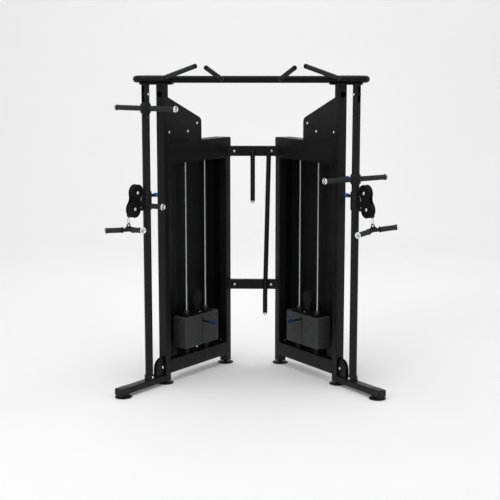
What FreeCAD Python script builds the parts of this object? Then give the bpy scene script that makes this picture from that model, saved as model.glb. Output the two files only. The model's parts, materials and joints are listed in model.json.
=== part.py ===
import FreeCAD, Part
import math
import os

# Functional trainer: two cable towers that open forwards in a V, a pull-up bar across them,
# a carriage with a swivelling double pulley and a T-bar on each front column.
# Millimetres, +Z up. X runs across the machine, -Y is the side that the user stands on.
# The origin is on the floor, at the centre of the footprint.
#
# Each tower has a frame of its own: s runs along the tower, outwards to the front from the
# column's axis, t runs across it towards the middle of the machine, and z is the height.
# Everything is drawn for the left tower as (s, t, z), and the right one is its mirror image.

V = FreeCAD.Vector

# overall layout
TOWER_ANGLE = 34.45
COLUMN_X = 757.7
COLUMN_Y = -264.2
HOLE_PITCH = 63.5
HOLE_ZERO_Z = 1571.0
LOWEST_HOLE = -21
HIGHEST_HOLE = 7

# running clearance of a shaft in its bore, and the gap between loose neighbours
RUNNING = 0.05
GAP = 0.4

# base beam and its end shoe
BEAM_FRONT = 336.0
BEAM_HALF_WIDTH = 34.0
BEAM_BOTTOM = 23.0
BEAM_TOP = 71.3
SHOE_BACK = 257.0
SHOE_FRONT = 346.7
FOOT_RADIUS = 62.0
FOOT_THICK = 9.0

# column and uprights
COLUMN_RADIUS = 28.9
COLUMN_WALL = 3.5
COLUMN_TOP = 2248.0
PIN_HOLE_RADIUS = 6.6
UPRIGHT_FRONT = -157.0
UPRIGHT_DEPTH = 59.3
UPRIGHT_HALF_WIDTH = 34.5
UPRIGHT_TOP = 2248.0
TUBE_WALL = 3.0
REAR_UPRIGHT_FRONT = -919.0
REAR_UPRIGHT_TOP = 1660.0

# bottom rail, top box, gusset and shroud
RAIL_BOTTOM = 74.7
RAIL_TOP = 178.2
BOX_BOTTOM = 1661.0
BOX_TOP = 1821.0
SHEET = 4.0
GUSSET_INNER = 14.0
SHROUD_BACK = -100.0
SHROUD_FOLD = -454.0
SHROUD_FOOT = 108.0
SHROUD_HEAD = 1818.0
GUSSET_BOLT = (-462.0, 1891.0)
FLANGE_WIDTH = 14.0
FLANGE_TOP = 2150.0

# weight stack
STACK_CENTRE = -567.0
STACK_LENGTH = 412.0
STACK_HALF_WIDTH = 65.0
PLATE_PITCH = 15.0
PLATE_COUNT = 16
PLATE_GAP = 0.3
STACK_BOTTOM = 234.0
ROD_OFFSET = 118.1
ROD_RADIUS = 8.0
STEM_RADIUS = 12.5
LIFTED = {"left": 4, "right": 3}

# pulleys and their axles
AXLE_RADIUS = 6.0
BEARING_RADIUS = 14.0
BASE_PULLEY = (-144.0, 131.0)
TOWER_PULLEY_REAR = (-575.0, 1947.0)
TOWER_PULLEY_FRONT = (-242.0, 1896.0)
STACK_PULLEY_Z = 595.0
COLUMN_PULLEY_Z = 2180.0

# carriage and T-bar
CARRIAGE_PIN_Z = HOLE_ZERO_Z - 2 * HOLE_PITCH
T_BAR_PIN_Z = {"left": HOLE_ZERO_Z + 8 * HOLE_PITCH, "right": HOLE_ZERO_Z}
SLEEVE_RADIUS = 36.0
GRIP_RADIUS = 19.0
BAR_RADIUS = 14.0
CAP_RADIUS = 23.5
SWIVEL_S = 58.0
UPPER_PULLEY = (118.0, 1479.0)
LOWER_PULLEY = (149.0, 1364.0)
LOBE_RADIUS = 62.0
PLUNGER_RADIUS = 6.0

# hanging handle
HANG_S = 205.0
HANDLE_Z = 1221.0
EYE_Z = 1255.8
WIRE_Z = 1260.5
HANDLE_HALF = 190.0
HANDLE_SWEEP = 15.6
HANDLE_TILT = {"left": 5.2, "right": -5.0}

# pull-up bar
PULL_UP_Z = 2286.0
PULL_UP_RADIUS = 25.4
PULL_UP_END = 855.0
PULL_UP_RETURN = 154.0
PULL_UP_RETURN_END = 605.0
PULL_UP_GRIP_RADIUS = 17.0
# root and end of the outer and the inner left grip, with Y measured from the columns
PULL_UP_GRIPS = (
    ((-638, -12, 2290), (-380, -200, 2384)),
    ((-204, -12, 2284), (-313, -200, 2373)),
)

# rear crossbars and the bars that hang on them
CROSSBAR_FRONT = 755.0
CROSSBAR_DEPTH = 40.0
CROSSBARS = ((1672.0, 1751.0, 35.5), (609.0, 687.0, 34.5))
PEG_Z = 1738.0


# ---- simple shapes ----

def block(x0, x1, y0, y1, z0, z1):
    return Part.makeBox(x1 - x0, y1 - y0, z1 - z0, V(x0, y0, z0))


def rod(start, end, radius):
    start, end = V(*start), V(*end)
    return Part.makeCylinder(radius, (end - start).Length, start, end - start)


def tube(start, end, outer, inner):
    return rod(start, end, outer).cut(rod(start, end, inner))


def edges_along(shape, axis):
    """The straight edges of a shape that run along axis 0, 1 or 2."""
    found = []
    for edge in shape.Edges:
        ends = [v.Point for v in edge.Vertexes]
        if len(ends) == 2:
            run = ends[1] - ends[0]
            if abs(abs(run[axis]) - run.Length) < 1e-6:
                found.append(edge)
    return found


def soft_block(x0, x1, y0, y1, z0, z1, axis, radius):
    """A block whose four edges along one axis are rounded."""
    shape = block(x0, x1, y0, y1, z0, z1)
    return shape.makeFillet(radius, edges_along(shape, axis))


def box_tube(x0, x1, y0, y1, z0, z1, axis, wall=TUBE_WALL, radius=6.0):
    """A rectangular tube along one axis, open at both ends."""
    low, high = [x0, y0, z0], [x1, y1, z1]
    outer = soft_block(x0, x1, y0, y1, z0, z1, axis, radius)
    for k in range(3):
        grow = 1.0 if k == axis else -wall
        low[k] -= grow
        high[k] += grow
    inner = soft_block(low[0], high[0], low[1], high[1], low[2], high[2], axis, radius - wall)
    return outer.cut(inner)


def plate(points, t0, t1):
    """A flat plate across the tower from (s, z) points, between two values of t."""
    corners = [V(s, t0, z) for s, z in points]
    wire = Part.makePolygon(corners + [corners[0]])
    return Part.Face(wire).extrude(V(0, t1 - t0, 0))


def sheet(points, z0, z1):
    """An upright folded sheet from its (s, t) outline."""
    corners = [V(s, t, z0) for s, t in points]
    wire = Part.makePolygon(corners + [corners[0]])
    return Part.Face(wire).extrude(V(0, 0, z1 - z0))


def disc(s, z, radius, t0, t1):
    return rod((s, t0, z), (s, t1, z), radius)


def turned(points, base, axis, side):
    """A turned solid from (along, radius) points about an axis through base."""
    axis, side = V(*axis), V(*side)
    corners = [V(*base) + axis * a + side * r for a, r in points]
    wire = Part.makePolygon(corners + [corners[0]])
    return Part.Face(wire).revolve(V(*base), axis, 360)


def clean(shape):
    """One solid with its coplanar faces joined."""
    return shape.removeSplitter().Solids[0]


# ---- placing and keeping ----

def stand(shape, side):
    """Moves a shape from a tower's frame to its place on the left or right."""
    placed = shape.copy()
    placed.rotate(V(0, 0, 0), V(0, 0, 1), -(90.0 + TOWER_ANGLE))
    placed.translate(V(-COLUMN_X, COLUMN_Y, 0))
    if side == "right":
        placed = placed.mirror(V(0, 0, 0), V(1, 0, 0))
    return placed


def across(shape):
    """A shape and its mirror image on the other side of the machine."""
    return [shape, shape.mirror(V(0, 0, 0), V(1, 0, 0))]


def keep(name, solids):
    """Writes one named piece, or one named group of separate pieces."""
    solids = [s for shape in solids for s in shape.Solids]
    for solid in solids:
        if not solid.isValid() or solid.Volume <= 0:
            print("bad solid in", name)
    whole = solids[0] if len(solids) == 1 else Part.makeCompound(solids)
    whole.exportStep(os.path.join("parts", name + ".step"))


SIDES = ("left", "right")


def keep_pair(name, make):
    """One group node that holds the same pieces on both towers."""
    keep(name, [stand(shape, side) for side in SIDES for shape in make()])


def keep_each(name, make):
    """A node for each tower."""
    for side in SIDES:
        keep(name + "_" + side, [stand(shape, side) for shape in make(side)])


# ---- shared sub-parts ----

def sheave(s, z, radius, half_width):
    """A grooved cable pulley on its ball bearing, turning about a t axis."""
    floor = radius - 9.0
    profile = [
        (-half_width, BEARING_RADIUS),
        (-half_width, 26.0),
        (-half_width + 3.0, 28.0),
        (-half_width + 3.0, radius - 14.0),
        (-half_width, radius - 12.0),
        (-half_width, radius),
        (-half_width + 1.5, radius),
        (-2.5, floor),
        (2.5, floor),
        (half_width - 1.5, radius),
        (half_width, radius),
        (half_width, radius - 12.0),
        (half_width - 3.0, radius - 14.0),
        (half_width - 3.0, 28.0),
        (half_width, 26.0),
        (half_width, BEARING_RADIUS),
    ]
    wheel = turned(profile, (s, 0, z), (0, 1, 0), (1, 0, 0))
    bearing = tube((s, -half_width, z), (s, half_width, z), BEARING_RADIUS, AXLE_RADIUS + RUNNING)
    return [wheel, bearing]


def axle_bolt(s, z, reach, head_radius=11.0, head=7.0):
    """A bolt across the tower with a domed head towards +t and a nut towards -t."""
    shank = disc(s, z, AXLE_RADIUS, -reach, reach)
    cap = disc(s, z, head_radius, reach, reach + head)
    nut = disc(s, z, head_radius - 1.0, -reach - head, -reach)
    return shank.fuse([cap, nut])


def grip_half(sign, start, end):
    """A foam grip and its turned metal end cap on one half of a straight bar at s = 0."""
    grip = tube((0, sign * start, 0), (0, sign * (end - 11), 0), GRIP_RADIUS, BAR_RADIUS)
    cap = disc(0, 0, CAP_RADIUS, sign * (end - 11), sign * end)
    return [grip, cap.makeFillet(2.0, [e for e in cap.Edges if len(e.Vertexes) == 1])]


def plunger_barrel(z):
    """The barrel on the sleeve's inner side that guides the pop pin."""
    return tube((-SLEEVE_RADIUS + 4, 0, z), (-67, 0, z), 13.0, PLUNGER_RADIUS + RUNNING)


def pop_pin(z):
    """Steel pin and its knob, drawn clear of the column so that the sleeve can slide."""
    profile = [
        (29.3, 0.0),
        (29.3, 4.5),
        (31.0, PLUNGER_RADIUS),
        (84.0, PLUNGER_RADIUS),
        (84.0, 12.0),
        (88.0, 16.5),
        (104.0, 17.5),
        (111.0, 14.0),
        (113.0, 8.0),
        (113.0, 0.0),
    ]
    return [turned(profile, (0, 0, z), (-1, 0, 0), (0, 0, 1))]


# ---- frame ----

def base_beam():
    return [
        box_tube(
            UPRIGHT_FRONT, BEAM_FRONT, -BEAM_HALF_WIDTH, BEAM_HALF_WIDTH, BEAM_BOTTOM, BEAM_TOP, 0
        )
    ]


def end_shoe():
    """The moulded shoe that closes the beam, and the rubber pad under it."""
    wide = BEAM_HALF_WIDTH + 2.5
    shoe = soft_block(
        SHOE_BACK, SHOE_FRONT, -wide, wide, BEAM_BOTTOM - 2.5, BEAM_TOP + 2.5, 0, 8.5
    )
    rim = [e for e in shoe.Edges if all(v.Point.x > SHOE_FRONT - 0.1 for v in e.Vertexes)]
    shoe = shoe.makeFillet(4.0, rim)
    socket = soft_block(
        SHOE_BACK - 1,
        BEAM_FRONT,
        -BEAM_HALF_WIDTH,
        BEAM_HALF_WIDTH,
        BEAM_BOTTOM,
        BEAM_TOP,
        0,
        6.0,
    )
    pad = soft_block(
        SHOE_BACK + 3, SHOE_FRONT - 4, -31, 31, FOOT_THICK + 2, BEAM_BOTTOM - 2.5, 2, 8.0
    )
    return [shoe.cut(socket), pad.cut(disc_foot_stud(290.0))]


def disc_foot_stud(s):
    return rod((s, 0, FOOT_THICK - 1), (s, 0, BEAM_BOTTOM - 2.5), 10.0)


def foot(s, top):
    """A levelling foot: a broad disc and the stud that holds it to the frame."""
    profile = [
        (0.0, 0.0),
        (0.0, FOOT_RADIUS - 2.0),
        (2.0, FOOT_RADIUS),
        (6.0, FOOT_RADIUS),
        (FOOT_THICK, FOOT_RADIUS - 8.0),
        (FOOT_THICK, 10.0),
        (top, 10.0),
        (top, 0.0),
    ]
    return turned(profile, (s, 0, 0), (0, 0, 1), (1, 0, 0))


def feet():
    return [foot(290.0, BEAM_BOTTOM - 2.5), foot(-187.0, BEAM_BOTTOM), foot(-948.0, BEAM_BOTTOM)]


def front_upright(side):
    back = UPRIGHT_FRONT - UPRIGHT_DEPTH
    half = UPRIGHT_HALF_WIDTH
    shape = box_tube(back, UPRIGHT_FRONT, -half, half, BEAM_BOTTOM, UPRIGHT_TOP, 2)
    face = UPRIGHT_FRONT
    cable_hole = rod((face - 5, 0, 2174), (face + 5, 0, 2174), 22.0)
    slot = block(face - 5, face + 5, -25, 25, BEAM_TOP, 188.0)
    slot_top = rod((face - 5, 0, 188), (face + 5, 0, 188), 25.0)
    rear_slot = block(back - 5, back + 5, -13, 13, 1835.0, 1957.0)
    return [shape.cut([cable_hole, slot, slot_top, rear_slot])]


def rear_upright():
    back = REAR_UPRIGHT_FRONT - UPRIGHT_DEPTH
    half = UPRIGHT_HALF_WIDTH
    return [box_tube(back, REAR_UPRIGHT_FRONT, -half, half, BEAM_BOTTOM, REAR_UPRIGHT_TOP, 2)]


def column(side):
    """Round column with a row of pin holes facing the tower and a pulley slot at its top."""
    shape = tube((0, 0, BEAM_TOP), (0, 0, COLUMN_TOP), COLUMN_RADIUS, COLUMN_RADIUS - COLUMN_WALL)
    cuts = []
    for k in range(LOWEST_HOLE, HIGHEST_HOLE + 2):
        z = HOLE_ZERO_Z + k * HOLE_PITCH
        cuts.append(rod((-40, 0, z), (-15, 0, z), PIN_HOLE_RADIUS))
    cuts.append(block(5, 40, -12, 12, 2125.0, 2238.0))
    cuts.append(rod((-40, 0, 2184), (-5, 0, 2184), 12.0))
    cuts.append(disc(0, COLUMN_PULLEY_Z, AXLE_RADIUS, -40, 40))
    return [shape.cut(cuts)]


def column_socket():
    profile = [(0.0, COLUMN_RADIUS), (0.0, 35.5), (28.0, 35.5), (34.0, 33.0), (34.0, COLUMN_RADIUS)]
    return [turned(profile, (0, 0, BEAM_TOP), (0, 0, 1), (1, 0, 0))]


def bottom_rail():
    """A channel, open upwards, between the two uprights."""
    s0, s1 = REAR_UPRIGHT_FRONT, UPRIGHT_FRONT - UPRIGHT_DEPTH
    half = UPRIGHT_HALF_WIDTH
    shape = soft_block(s0, s1, -half, half, RAIL_BOTTOM, RAIL_TOP + 20, 0, 6.0)
    shape = shape.cut(block(s0 - 1, s1 + 1, -half - 1, half + 1, RAIL_TOP, RAIL_TOP + 30))
    inside = block(s0 - 1, s1 + 1, SHEET - half, half - SHEET, RAIL_BOTTOM + SHEET, RAIL_TOP + 1)
    return [shape.cut(inside)]


def top_box():
    """A folded box, open downwards, that ties the uprights and holds the rods' upper ends."""
    s0, s1 = REAR_UPRIGHT_FRONT - UPRIGHT_DEPTH, UPRIGHT_FRONT - UPRIGHT_DEPTH
    half = UPRIGHT_HALF_WIDTH + 1.0
    shape = soft_block(s0, s1, -half, half, BOX_BOTTOM, BOX_TOP, 1, 12.0)
    inside = block(s0 + SHEET, s1 - SHEET, SHEET - half, half - SHEET, BOX_BOTTOM - 1, BOX_TOP - SHEET)
    slots = [block(s - 55, s + 55, -11, 11, BOX_TOP - 30, BOX_TOP + 1) for s in (-567.0, -300.0)]
    return [shape.cut([inside] + slots)]


def gusset():
    """Two plates that carry the tower pulleys, and the flange that bolts them to the upright."""
    s1 = UPRIGHT_FRONT - UPRIGHT_DEPTH
    outline = [
        (s1, BOX_TOP),
        (s1, 2159.0),
        (-575.0, 2005.0),
        (-602.0, 1990.0),
        (-620.0, 1968.0),
        (-629.0, 1938.0),
        (-629.0, BOX_TOP),
    ]
    pieces = []
    for t0 in (GUSSET_INNER, -GUSSET_INNER - SHEET):
        shape = plate(outline, t0, t0 + SHEET)
        holes = [
            disc(s, z, AXLE_RADIUS, t0 - 1, t0 + SHEET + 1)
            for s, z in (TOWER_PULLEY_REAR, TOWER_PULLEY_FRONT, GUSSET_BOLT)
        ]
        pieces.append(shape.cut(holes))
    for t0 in (GUSSET_INNER + SHEET, -GUSSET_INNER - SHEET - FLANGE_WIDTH):
        pieces.append(block(s1 - 5, s1, t0, t0 + FLANGE_WIDTH, BOX_TOP, FLANGE_TOP))
    return pieces


def shroud():
    """A folded steel sheet behind the weight stack, open towards the user."""
    front, rear = UPRIGHT_FRONT - UPRIGHT_DEPTH, REAR_UPRIGHT_FRONT - UPRIGHT_DEPTH
    face = -UPRIGHT_HALF_WIDTH - 1.2
    thick = 2.0
    outline = [
        (front + 30, face),
        (front - 2, face),
        (SHROUD_FOLD, SHROUD_BACK + thick),
        (rear + 4 + thick, SHROUD_BACK + thick),
        (rear + 4 + thick, face - thick),
        (rear + 34, face - thick),
        (rear + 34, face),
        (rear + 4, face),
        (rear + 4, SHROUD_BACK),
        (SHROUD_FOLD - 0.5, SHROUD_BACK),
        (front - 2, face - thick),
        (front + 30, face - thick),
    ]
    return [sheet(outline, SHROUD_FOOT, SHROUD_HEAD)]


def guide_rods():
    floor = RAIL_BOTTOM + SHEET
    return [
        rod((s, 0, floor), (s, 0, BOX_TOP - SHEET), ROD_RADIUS)
        for s in (STACK_CENTRE - ROD_OFFSET, STACK_CENTRE + ROD_OFFSET)
    ]


def bumpers():
    floor = RAIL_BOTTOM + SHEET
    return [
        tube((s, 0, floor), (s, 0, STACK_BOTTOM), 22.5, ROD_RADIUS)
        for s in (STACK_CENTRE - ROD_OFFSET, STACK_CENTRE + ROD_OFFSET)
    ]


def weight_plate(level):
    """One plate of the stack; level 0 is the lowest. Its front hole takes the selector pin."""
    z0 = STACK_BOTTOM + level * PLATE_PITCH
    z1 = z0 + PLATE_PITCH - PLATE_GAP
    half = STACK_LENGTH / 2
    shape = soft_block(
        STACK_CENTRE - half,
        STACK_CENTRE + half,
        -STACK_HALF_WIDTH,
        STACK_HALF_WIDTH,
        z0,
        z1,
        2,
        10.0,
    )
    mid = (z0 + z1) / 2
    cuts = [
        rod((s, 0, z0 - 1), (s, 0, z1 + 1), ROD_RADIUS + 1.0)
        for s in (STACK_CENTRE - ROD_OFFSET, STACK_CENTRE + ROD_OFFSET)
    ]
    cuts.append(rod((STACK_CENTRE, 0, z0 - 1), (STACK_CENTRE, 0, z1 + 1), STEM_RADIUS + 1.0))
    cuts.append(rod((STACK_CENTRE, 5, mid), (STACK_CENTRE, STACK_HALF_WIDTH + 5, mid), 5.0))
    return shape.cut(cuts)


def pin_level(side):
    """The height of the hole that the selector pin is in, in the lowest lifted plate."""
    level = PLATE_COUNT - LIFTED[side]
    return STACK_BOTTOM + level * PLATE_PITCH + (PLATE_PITCH - PLATE_GAP) / 2


def base_pulley_housing():
    """Two cheeks with round tops that stand on the beam and carry the base pulley."""
    s, z = BASE_PULLEY
    cheeks = []
    for t0 in (9.5, -13.5):
        cheek = disc(s, z, 75.0, t0, t0 + 4).fuse(block(s - 75, s + 75, t0, t0 + 4, BEAM_TOP, z))
        cheek = cheek.cut(block(s - 90, UPRIGHT_FRONT + 0.1, t0 - 1, t0 + 5, 0, 300))
        cheek = cheek.cut([block(s - 90, s + 90, t0 - 1, t0 + 5, 0, BEAM_TOP), disc(s, z, 6, -20, 20)])
        cheeks.append(clean(cheek))
    return cheeks


def frame_bolts():
    """Axle bolts of the fixed pulleys and the screws along the rail, as separate pieces."""
    pieces = [
        axle_bolt(*TOWER_PULLEY_REAR, GUSSET_INNER + SHEET),
        axle_bolt(*TOWER_PULLEY_FRONT, GUSSET_INNER + SHEET),
        axle_bolt(*GUSSET_BOLT, GUSSET_INNER + SHEET, 9.0, 6.0),
        axle_bolt(*BASE_PULLEY, 13.5, 12.0),
        axle_bolt(0.0, COLUMN_PULLEY_Z, COLUMN_RADIUS + 1.5, 11.0, 8.0),
        disc(0.0, 90.0, 9.0, 35.6, 41.0),
    ]
    rail = ((-247, 139), (-400, 138), (-504, 160), (-504, 118), (-631, 160), (-631, 119))
    for s, z in rail + ((-745, 139), (-889, 139)):
        pieces.append(disc(s, z, 8.0, UPRIGHT_HALF_WIDTH, UPRIGHT_HALF_WIDTH + 4.5))
    return pieces


# ---- weight stack ----

def lifted_plates(side):
    return [weight_plate(PLATE_COUNT - 1 - n) for n in range(LIFTED[side])]


def head_plate(side):
    """Head plate with its rod bushes, and the drilled selector stem below it."""
    z0 = STACK_BOTTOM + PLATE_COUNT * PLATE_PITCH
    z1 = z0 + 16.0
    rods = (STACK_CENTRE - ROD_OFFSET, STACK_CENTRE + ROD_OFFSET)
    head = soft_block(STACK_CENTRE - 165, STACK_CENTRE + 165, -50, 50, z0, z1, 2, 12.0)
    bores = [rod((s, 0, z0 - 1), (s, 0, z1 + 1), ROD_RADIUS + RUNNING) for s in rods]
    head = head.cut(bores)
    bushes = [tube((s, 0, z1), (s, 0, z1 + 25), 20.0, ROD_RADIUS + RUNNING) for s in rods]
    stem = rod((STACK_CENTRE, 0, STACK_BOTTOM + 2), (STACK_CENTRE, 0, z0), STEM_RADIUS)
    holes = []
    for level in range(PLATE_COUNT):
        z = STACK_BOTTOM + level * PLATE_PITCH + (PLATE_PITCH - PLATE_GAP) / 2
        holes.append(rod((STACK_CENTRE, 0, z), (STACK_CENTRE, 30, z), 5.0))
    return [head, stem.cut(holes)] + bushes


def stack_bracket(side):
    """Two cheeks on the head plate that carry the stack pulley, with its axle bolt."""
    s, z0 = STACK_CENTRE, STACK_BOTTOM + PLATE_COUNT * PLATE_PITCH + 16.0
    cheeks = []
    for t0 in (9.5, -12.5):
        cheek = disc(s, STACK_PULLEY_Z, 58.0, t0, t0 + 3)
        neck = plate([(s - 24, z0), (s + 24, z0), (s + 34, 560.0), (s - 34, 560.0)], t0, t0 + 3)
        cheek = cheek.fuse(neck).cut(disc(s, STACK_PULLEY_Z, AXLE_RADIUS, -20, 20))
        cheeks.append(clean(cheek))
    foot_block = block(s - 24, s + 24, -9.5, 9.5, z0, z0 + 30)
    return cheeks + [foot_block, axle_bolt(s, STACK_PULLEY_Z, 12.5, 11.0, 6.0)]


def selector_pin(side):
    """Steel pin, black collar and moulded knob on one axis towards the user."""
    profile = [
        (2.0, 0.0),
        (2.0, 3.0),
        (4.0, 4.5),
        (STACK_HALF_WIDTH + 1, 4.5),
        (STACK_HALF_WIDTH + 1, 8.0),
        (147.0, 8.0),
        (149.0, 13.0),
        (160.0, 15.5),
        (190.0, 15.5),
        (197.0, 10.0),
        (197.0, 0.0),
    ]
    return [turned(profile, (STACK_CENTRE, 0, pin_level(side)), (0, 1, 0), (0, 0, 1))]


def column_pulley(side):
    """The small pulley inside the column's top slot."""
    profile = [
        (-8.0, AXLE_RADIUS + RUNNING),
        (-8.0, 22.5),
        (-6.5, 22.5),
        (-2.0, 17.0),
        (2.0, 17.0),
        (6.5, 22.5),
        (8.0, 22.5),
        (8.0, AXLE_RADIUS + RUNNING),
    ]
    return [turned(profile, (0, 0, COLUMN_PULLEY_Z), (0, 1, 0), (1, 0, 0))]


# ---- carriage, swivel pulleys and handle ----

def carriage(side):
    """Sliding sleeve with its swivel lugs, hinge pin, pop-pin barrel and short handle."""
    z0, z1 = CARRIAGE_PIN_Z - 99, CARRIAGE_PIN_Z + 36
    profile = [
        (z0, COLUMN_RADIUS + RUNNING),
        (z0, SLEEVE_RADIUS - 3),
        (z0 + 6, SLEEVE_RADIUS),
        (z1 - 6, SLEEVE_RADIUS),
        (z1, SLEEVE_RADIUS - 3),
        (z1, COLUMN_RADIUS + RUNNING),
    ]
    sleeve = turned(profile, (0, 0, 0), (0, 0, 1), (1, 0, 0))
    body = [plunger_barrel(CARRIAGE_PIN_Z)]
    for low, high in ((z0, z0 + 18), (z0 + 87, z0 + 105)):
        body.append(block(25, SWIVEL_S, -12, 12, low, high))
        body.append(rod((SWIVEL_S, 0, low), (SWIVEL_S, 0, high), 12.0))
    reach = 1 if side == "left" else -1
    handle_z = CARRIAGE_PIN_Z - 69.5
    body.append(rod((0, reach * 30, handle_z), (0, reach * 147, handle_z), BAR_RADIUS))
    sleeve = sleeve.fuse(body)
    sleeve = sleeve.cut(
        [
            rod((0, 0, z0 - 1), (0, 0, z1 + 1), COLUMN_RADIUS + RUNNING),
            rod((SWIVEL_S, 0, z0 - 1), (SWIVEL_S, 0, z0 + 106), AXLE_RADIUS),
            rod((-20, 0, CARRIAGE_PIN_Z), (-50, 0, CARRIAGE_PIN_Z), PLUNGER_RADIUS + RUNNING),
        ]
    )
    hinge_pin = rod((SWIVEL_S, 0, z0 - 4), (SWIVEL_S, 0, z0 + 109), AXLE_RADIUS)
    grip, cap = grip_half(reach, 37, 158)
    for piece in (grip, cap):
        piece.translate(V(0, 0, handle_z))
    return [clean(sleeve), hinge_pin, grip, cap]


def pulley_housing(side):
    """Two figure-of-eight cheeks joined by a hinge barrel, with both pulleys' axle bolts."""
    z0 = CARRIAGE_PIN_Z - 99
    centres = (UPPER_PULLEY, LOWER_PULLEY)
    tongue = [(79, 1364), (120, 1364), (120, 1448), (79, 1448)]
    (s1, z1), (s2, z2) = UPPER_PULLEY, LOWER_PULLEY
    run = math.hypot(s2 - s1, z2 - z1)
    ds, dz = 47 * (z1 - z2) / run, 47 * (s2 - s1) / run
    waist = [(s1 + ds, z1 + dz), (s2 + ds, z2 + dz), (s2 - ds, z2 - dz), (s1 - ds, z1 - dz)]
    cheeks = []
    for t0 in (14.0, -18.0):
        cheek = disc(*UPPER_PULLEY, LOBE_RADIUS, t0, t0 + 4)
        others = [disc(*LOWER_PULLEY, LOBE_RADIUS, t0, t0 + 4)]
        others += [plate(tongue, t0, t0 + 4), plate(waist, t0, t0 + 4)]
        cheek = cheek.fuse(others)
        cheek = cheek.cut([block(0, 79, t0 - 1, t0 + 5, z0 - 5, z0 + 109)])
        cheek = cheek.cut([disc(s, z, AXLE_RADIUS, -20, 20) for s, z in centres])
        cheeks.append(clean(cheek))
    low, high = z0 + 18 + GAP, z0 + 87 - GAP
    web = rod((SWIVEL_S, 0, low), (SWIVEL_S, 0, high), 13.5)
    web = web.fuse(block(SWIVEL_S, 90, -14, 14, z0 + 22, z0 + 74))
    web = web.cut(rod((SWIVEL_S, 0, low - 1), (SWIVEL_S, 0, high + 1), AXLE_RADIUS + RUNNING))
    bolts = [axle_bolt(s, z, 18.0, 13.0, 7.0) for s, z in centres]
    return cheeks + [clean(web)] + bolts


def carabiner(side):
    """Cable stop ball, its ferrule and an oval snap link, hanging under the lower pulley."""
    ball = Part.makeSphere(11.0, V(HANG_S + 2, 0, 1324.0))
    ball = ball.cut(block(HANG_S - 20, HANG_S + 24, -20, 20, 1300.0, 1316.0))
    ferrule = rod((HANG_S, 0, 1313.2), (HANG_S, 0, 1316.0), 6.5)
    wire, half, top, bottom = 3.5, 10.5, 1299.0, 1271.0
    loop = Part.makeTorus(half, wire, V(HANG_S, 0, top), V(0, 1, 0))
    loop = loop.cut(block(HANG_S - 30, HANG_S + 30, -10, 10, top - 30, top))
    lower = Part.makeTorus(half, wire, V(HANG_S, 0, bottom), V(0, 1, 0))
    lower = lower.cut(block(HANG_S - 30, HANG_S + 30, -10, 10, bottom, bottom + 30))
    legs = [
        rod((HANG_S + sign * half, 0, bottom), (HANG_S + sign * half, 0, top), wire)
        for sign in (-1, 1)
    ]
    return [ball, ferrule, clean(loop.fuse([lower] + legs))]


def pull_handle(side):
    """A grip bar swept back a little on each side of a plate with an eye."""
    bars, grips = [], []
    for sign in (-1, 1):
        half = rod((0, 0, 0), (0, HANDLE_HALF - 10, 0), BAR_RADIUS)
        ring = disc(0, 0, GRIP_RADIUS + 3, 50, 56)
        grip = tube((0, 56, 0), (0, HANDLE_HALF - 11, 0), GRIP_RADIUS, BAR_RADIUS)
        cap = disc(0, 0, CAP_RADIUS, HANDLE_HALF - 11, HANDLE_HALF)
        cap = cap.makeFillet(2.0, [e for e in cap.Edges if len(e.Vertexes) == 1])
        cap = cap.cut(half)
        for piece, group in ((half, bars), (ring, bars), (grip, grips), (cap, grips)):
            if sign < 0:
                piece = piece.mirror(V(0, 0, 0), V(0, 1, 0))
            piece.rotate(V(0, 0, 0), V(0, 0, 1), -sign * HANDLE_SWEEP)
            piece.translate(V(HANG_S, 0, HANDLE_Z))
            group.append(piece)
    eye = rod((HANG_S - 3, 0, EYE_Z), (HANG_S + 3, 0, EYE_Z), 15.0)
    corners = [
        V(HANG_S - 3, t, z)
        for t, z in ((-14.2, EYE_Z + 4), (14.2, EYE_Z + 4), (46, HANDLE_Z), (-46, HANDLE_Z))
    ]
    wing = Part.Face(Part.makePolygon(corners + [corners[0]])).extrude(V(6, 0, 0))
    yoke = eye.fuse(wing).cut(rod((HANG_S - 9, 0, EYE_Z), (HANG_S + 9, 0, EYE_Z), 9.3))
    elbow = Part.makeSphere(BAR_RADIUS, V(HANG_S, 0, HANDLE_Z))
    frame = clean(elbow.fuse(bars + [yoke]))
    pieces = [frame] + grips
    for piece in pieces:
        piece.rotate(V(HANG_S, 0, WIRE_Z), V(1, 0, 0), HANDLE_TILT[side])
    return pieces


def t_bar(side):
    """Sliding collar with a straight grip bar across it and the pop-pin barrel."""
    z = T_BAR_PIN_Z[side]
    profile = [
        (z - 38, COLUMN_RADIUS + RUNNING),
        (z - 38, 33.0),
        (z - 26, 39.0),
        (z + 26, 39.0),
        (z + 38, 33.0),
        (z + 38, COLUMN_RADIUS + RUNNING),
    ]
    collar = turned(profile, (0, 0, 0), (0, 0, 1), (1, 0, 0))
    bar = rod((0, -274, z), (0, 274, z), BAR_RADIUS)
    collar = collar.fuse([bar, plunger_barrel(z)])
    collar = collar.cut(
        [
            rod((0, 0, z - 40), (0, 0, z + 40), COLUMN_RADIUS + RUNNING),
            rod((-20, 0, z), (-50, 0, z), PLUNGER_RADIUS + RUNNING),
        ]
    )
    pieces = [clean(collar)]
    for sign in (-1, 1):
        for piece in grip_half(sign, 41, 285):
            piece.translate(V(0, 0, z))
            pieces.append(piece)
    return pieces


# ---- pull-up bar, rear crossbars and hanging bars ----

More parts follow.
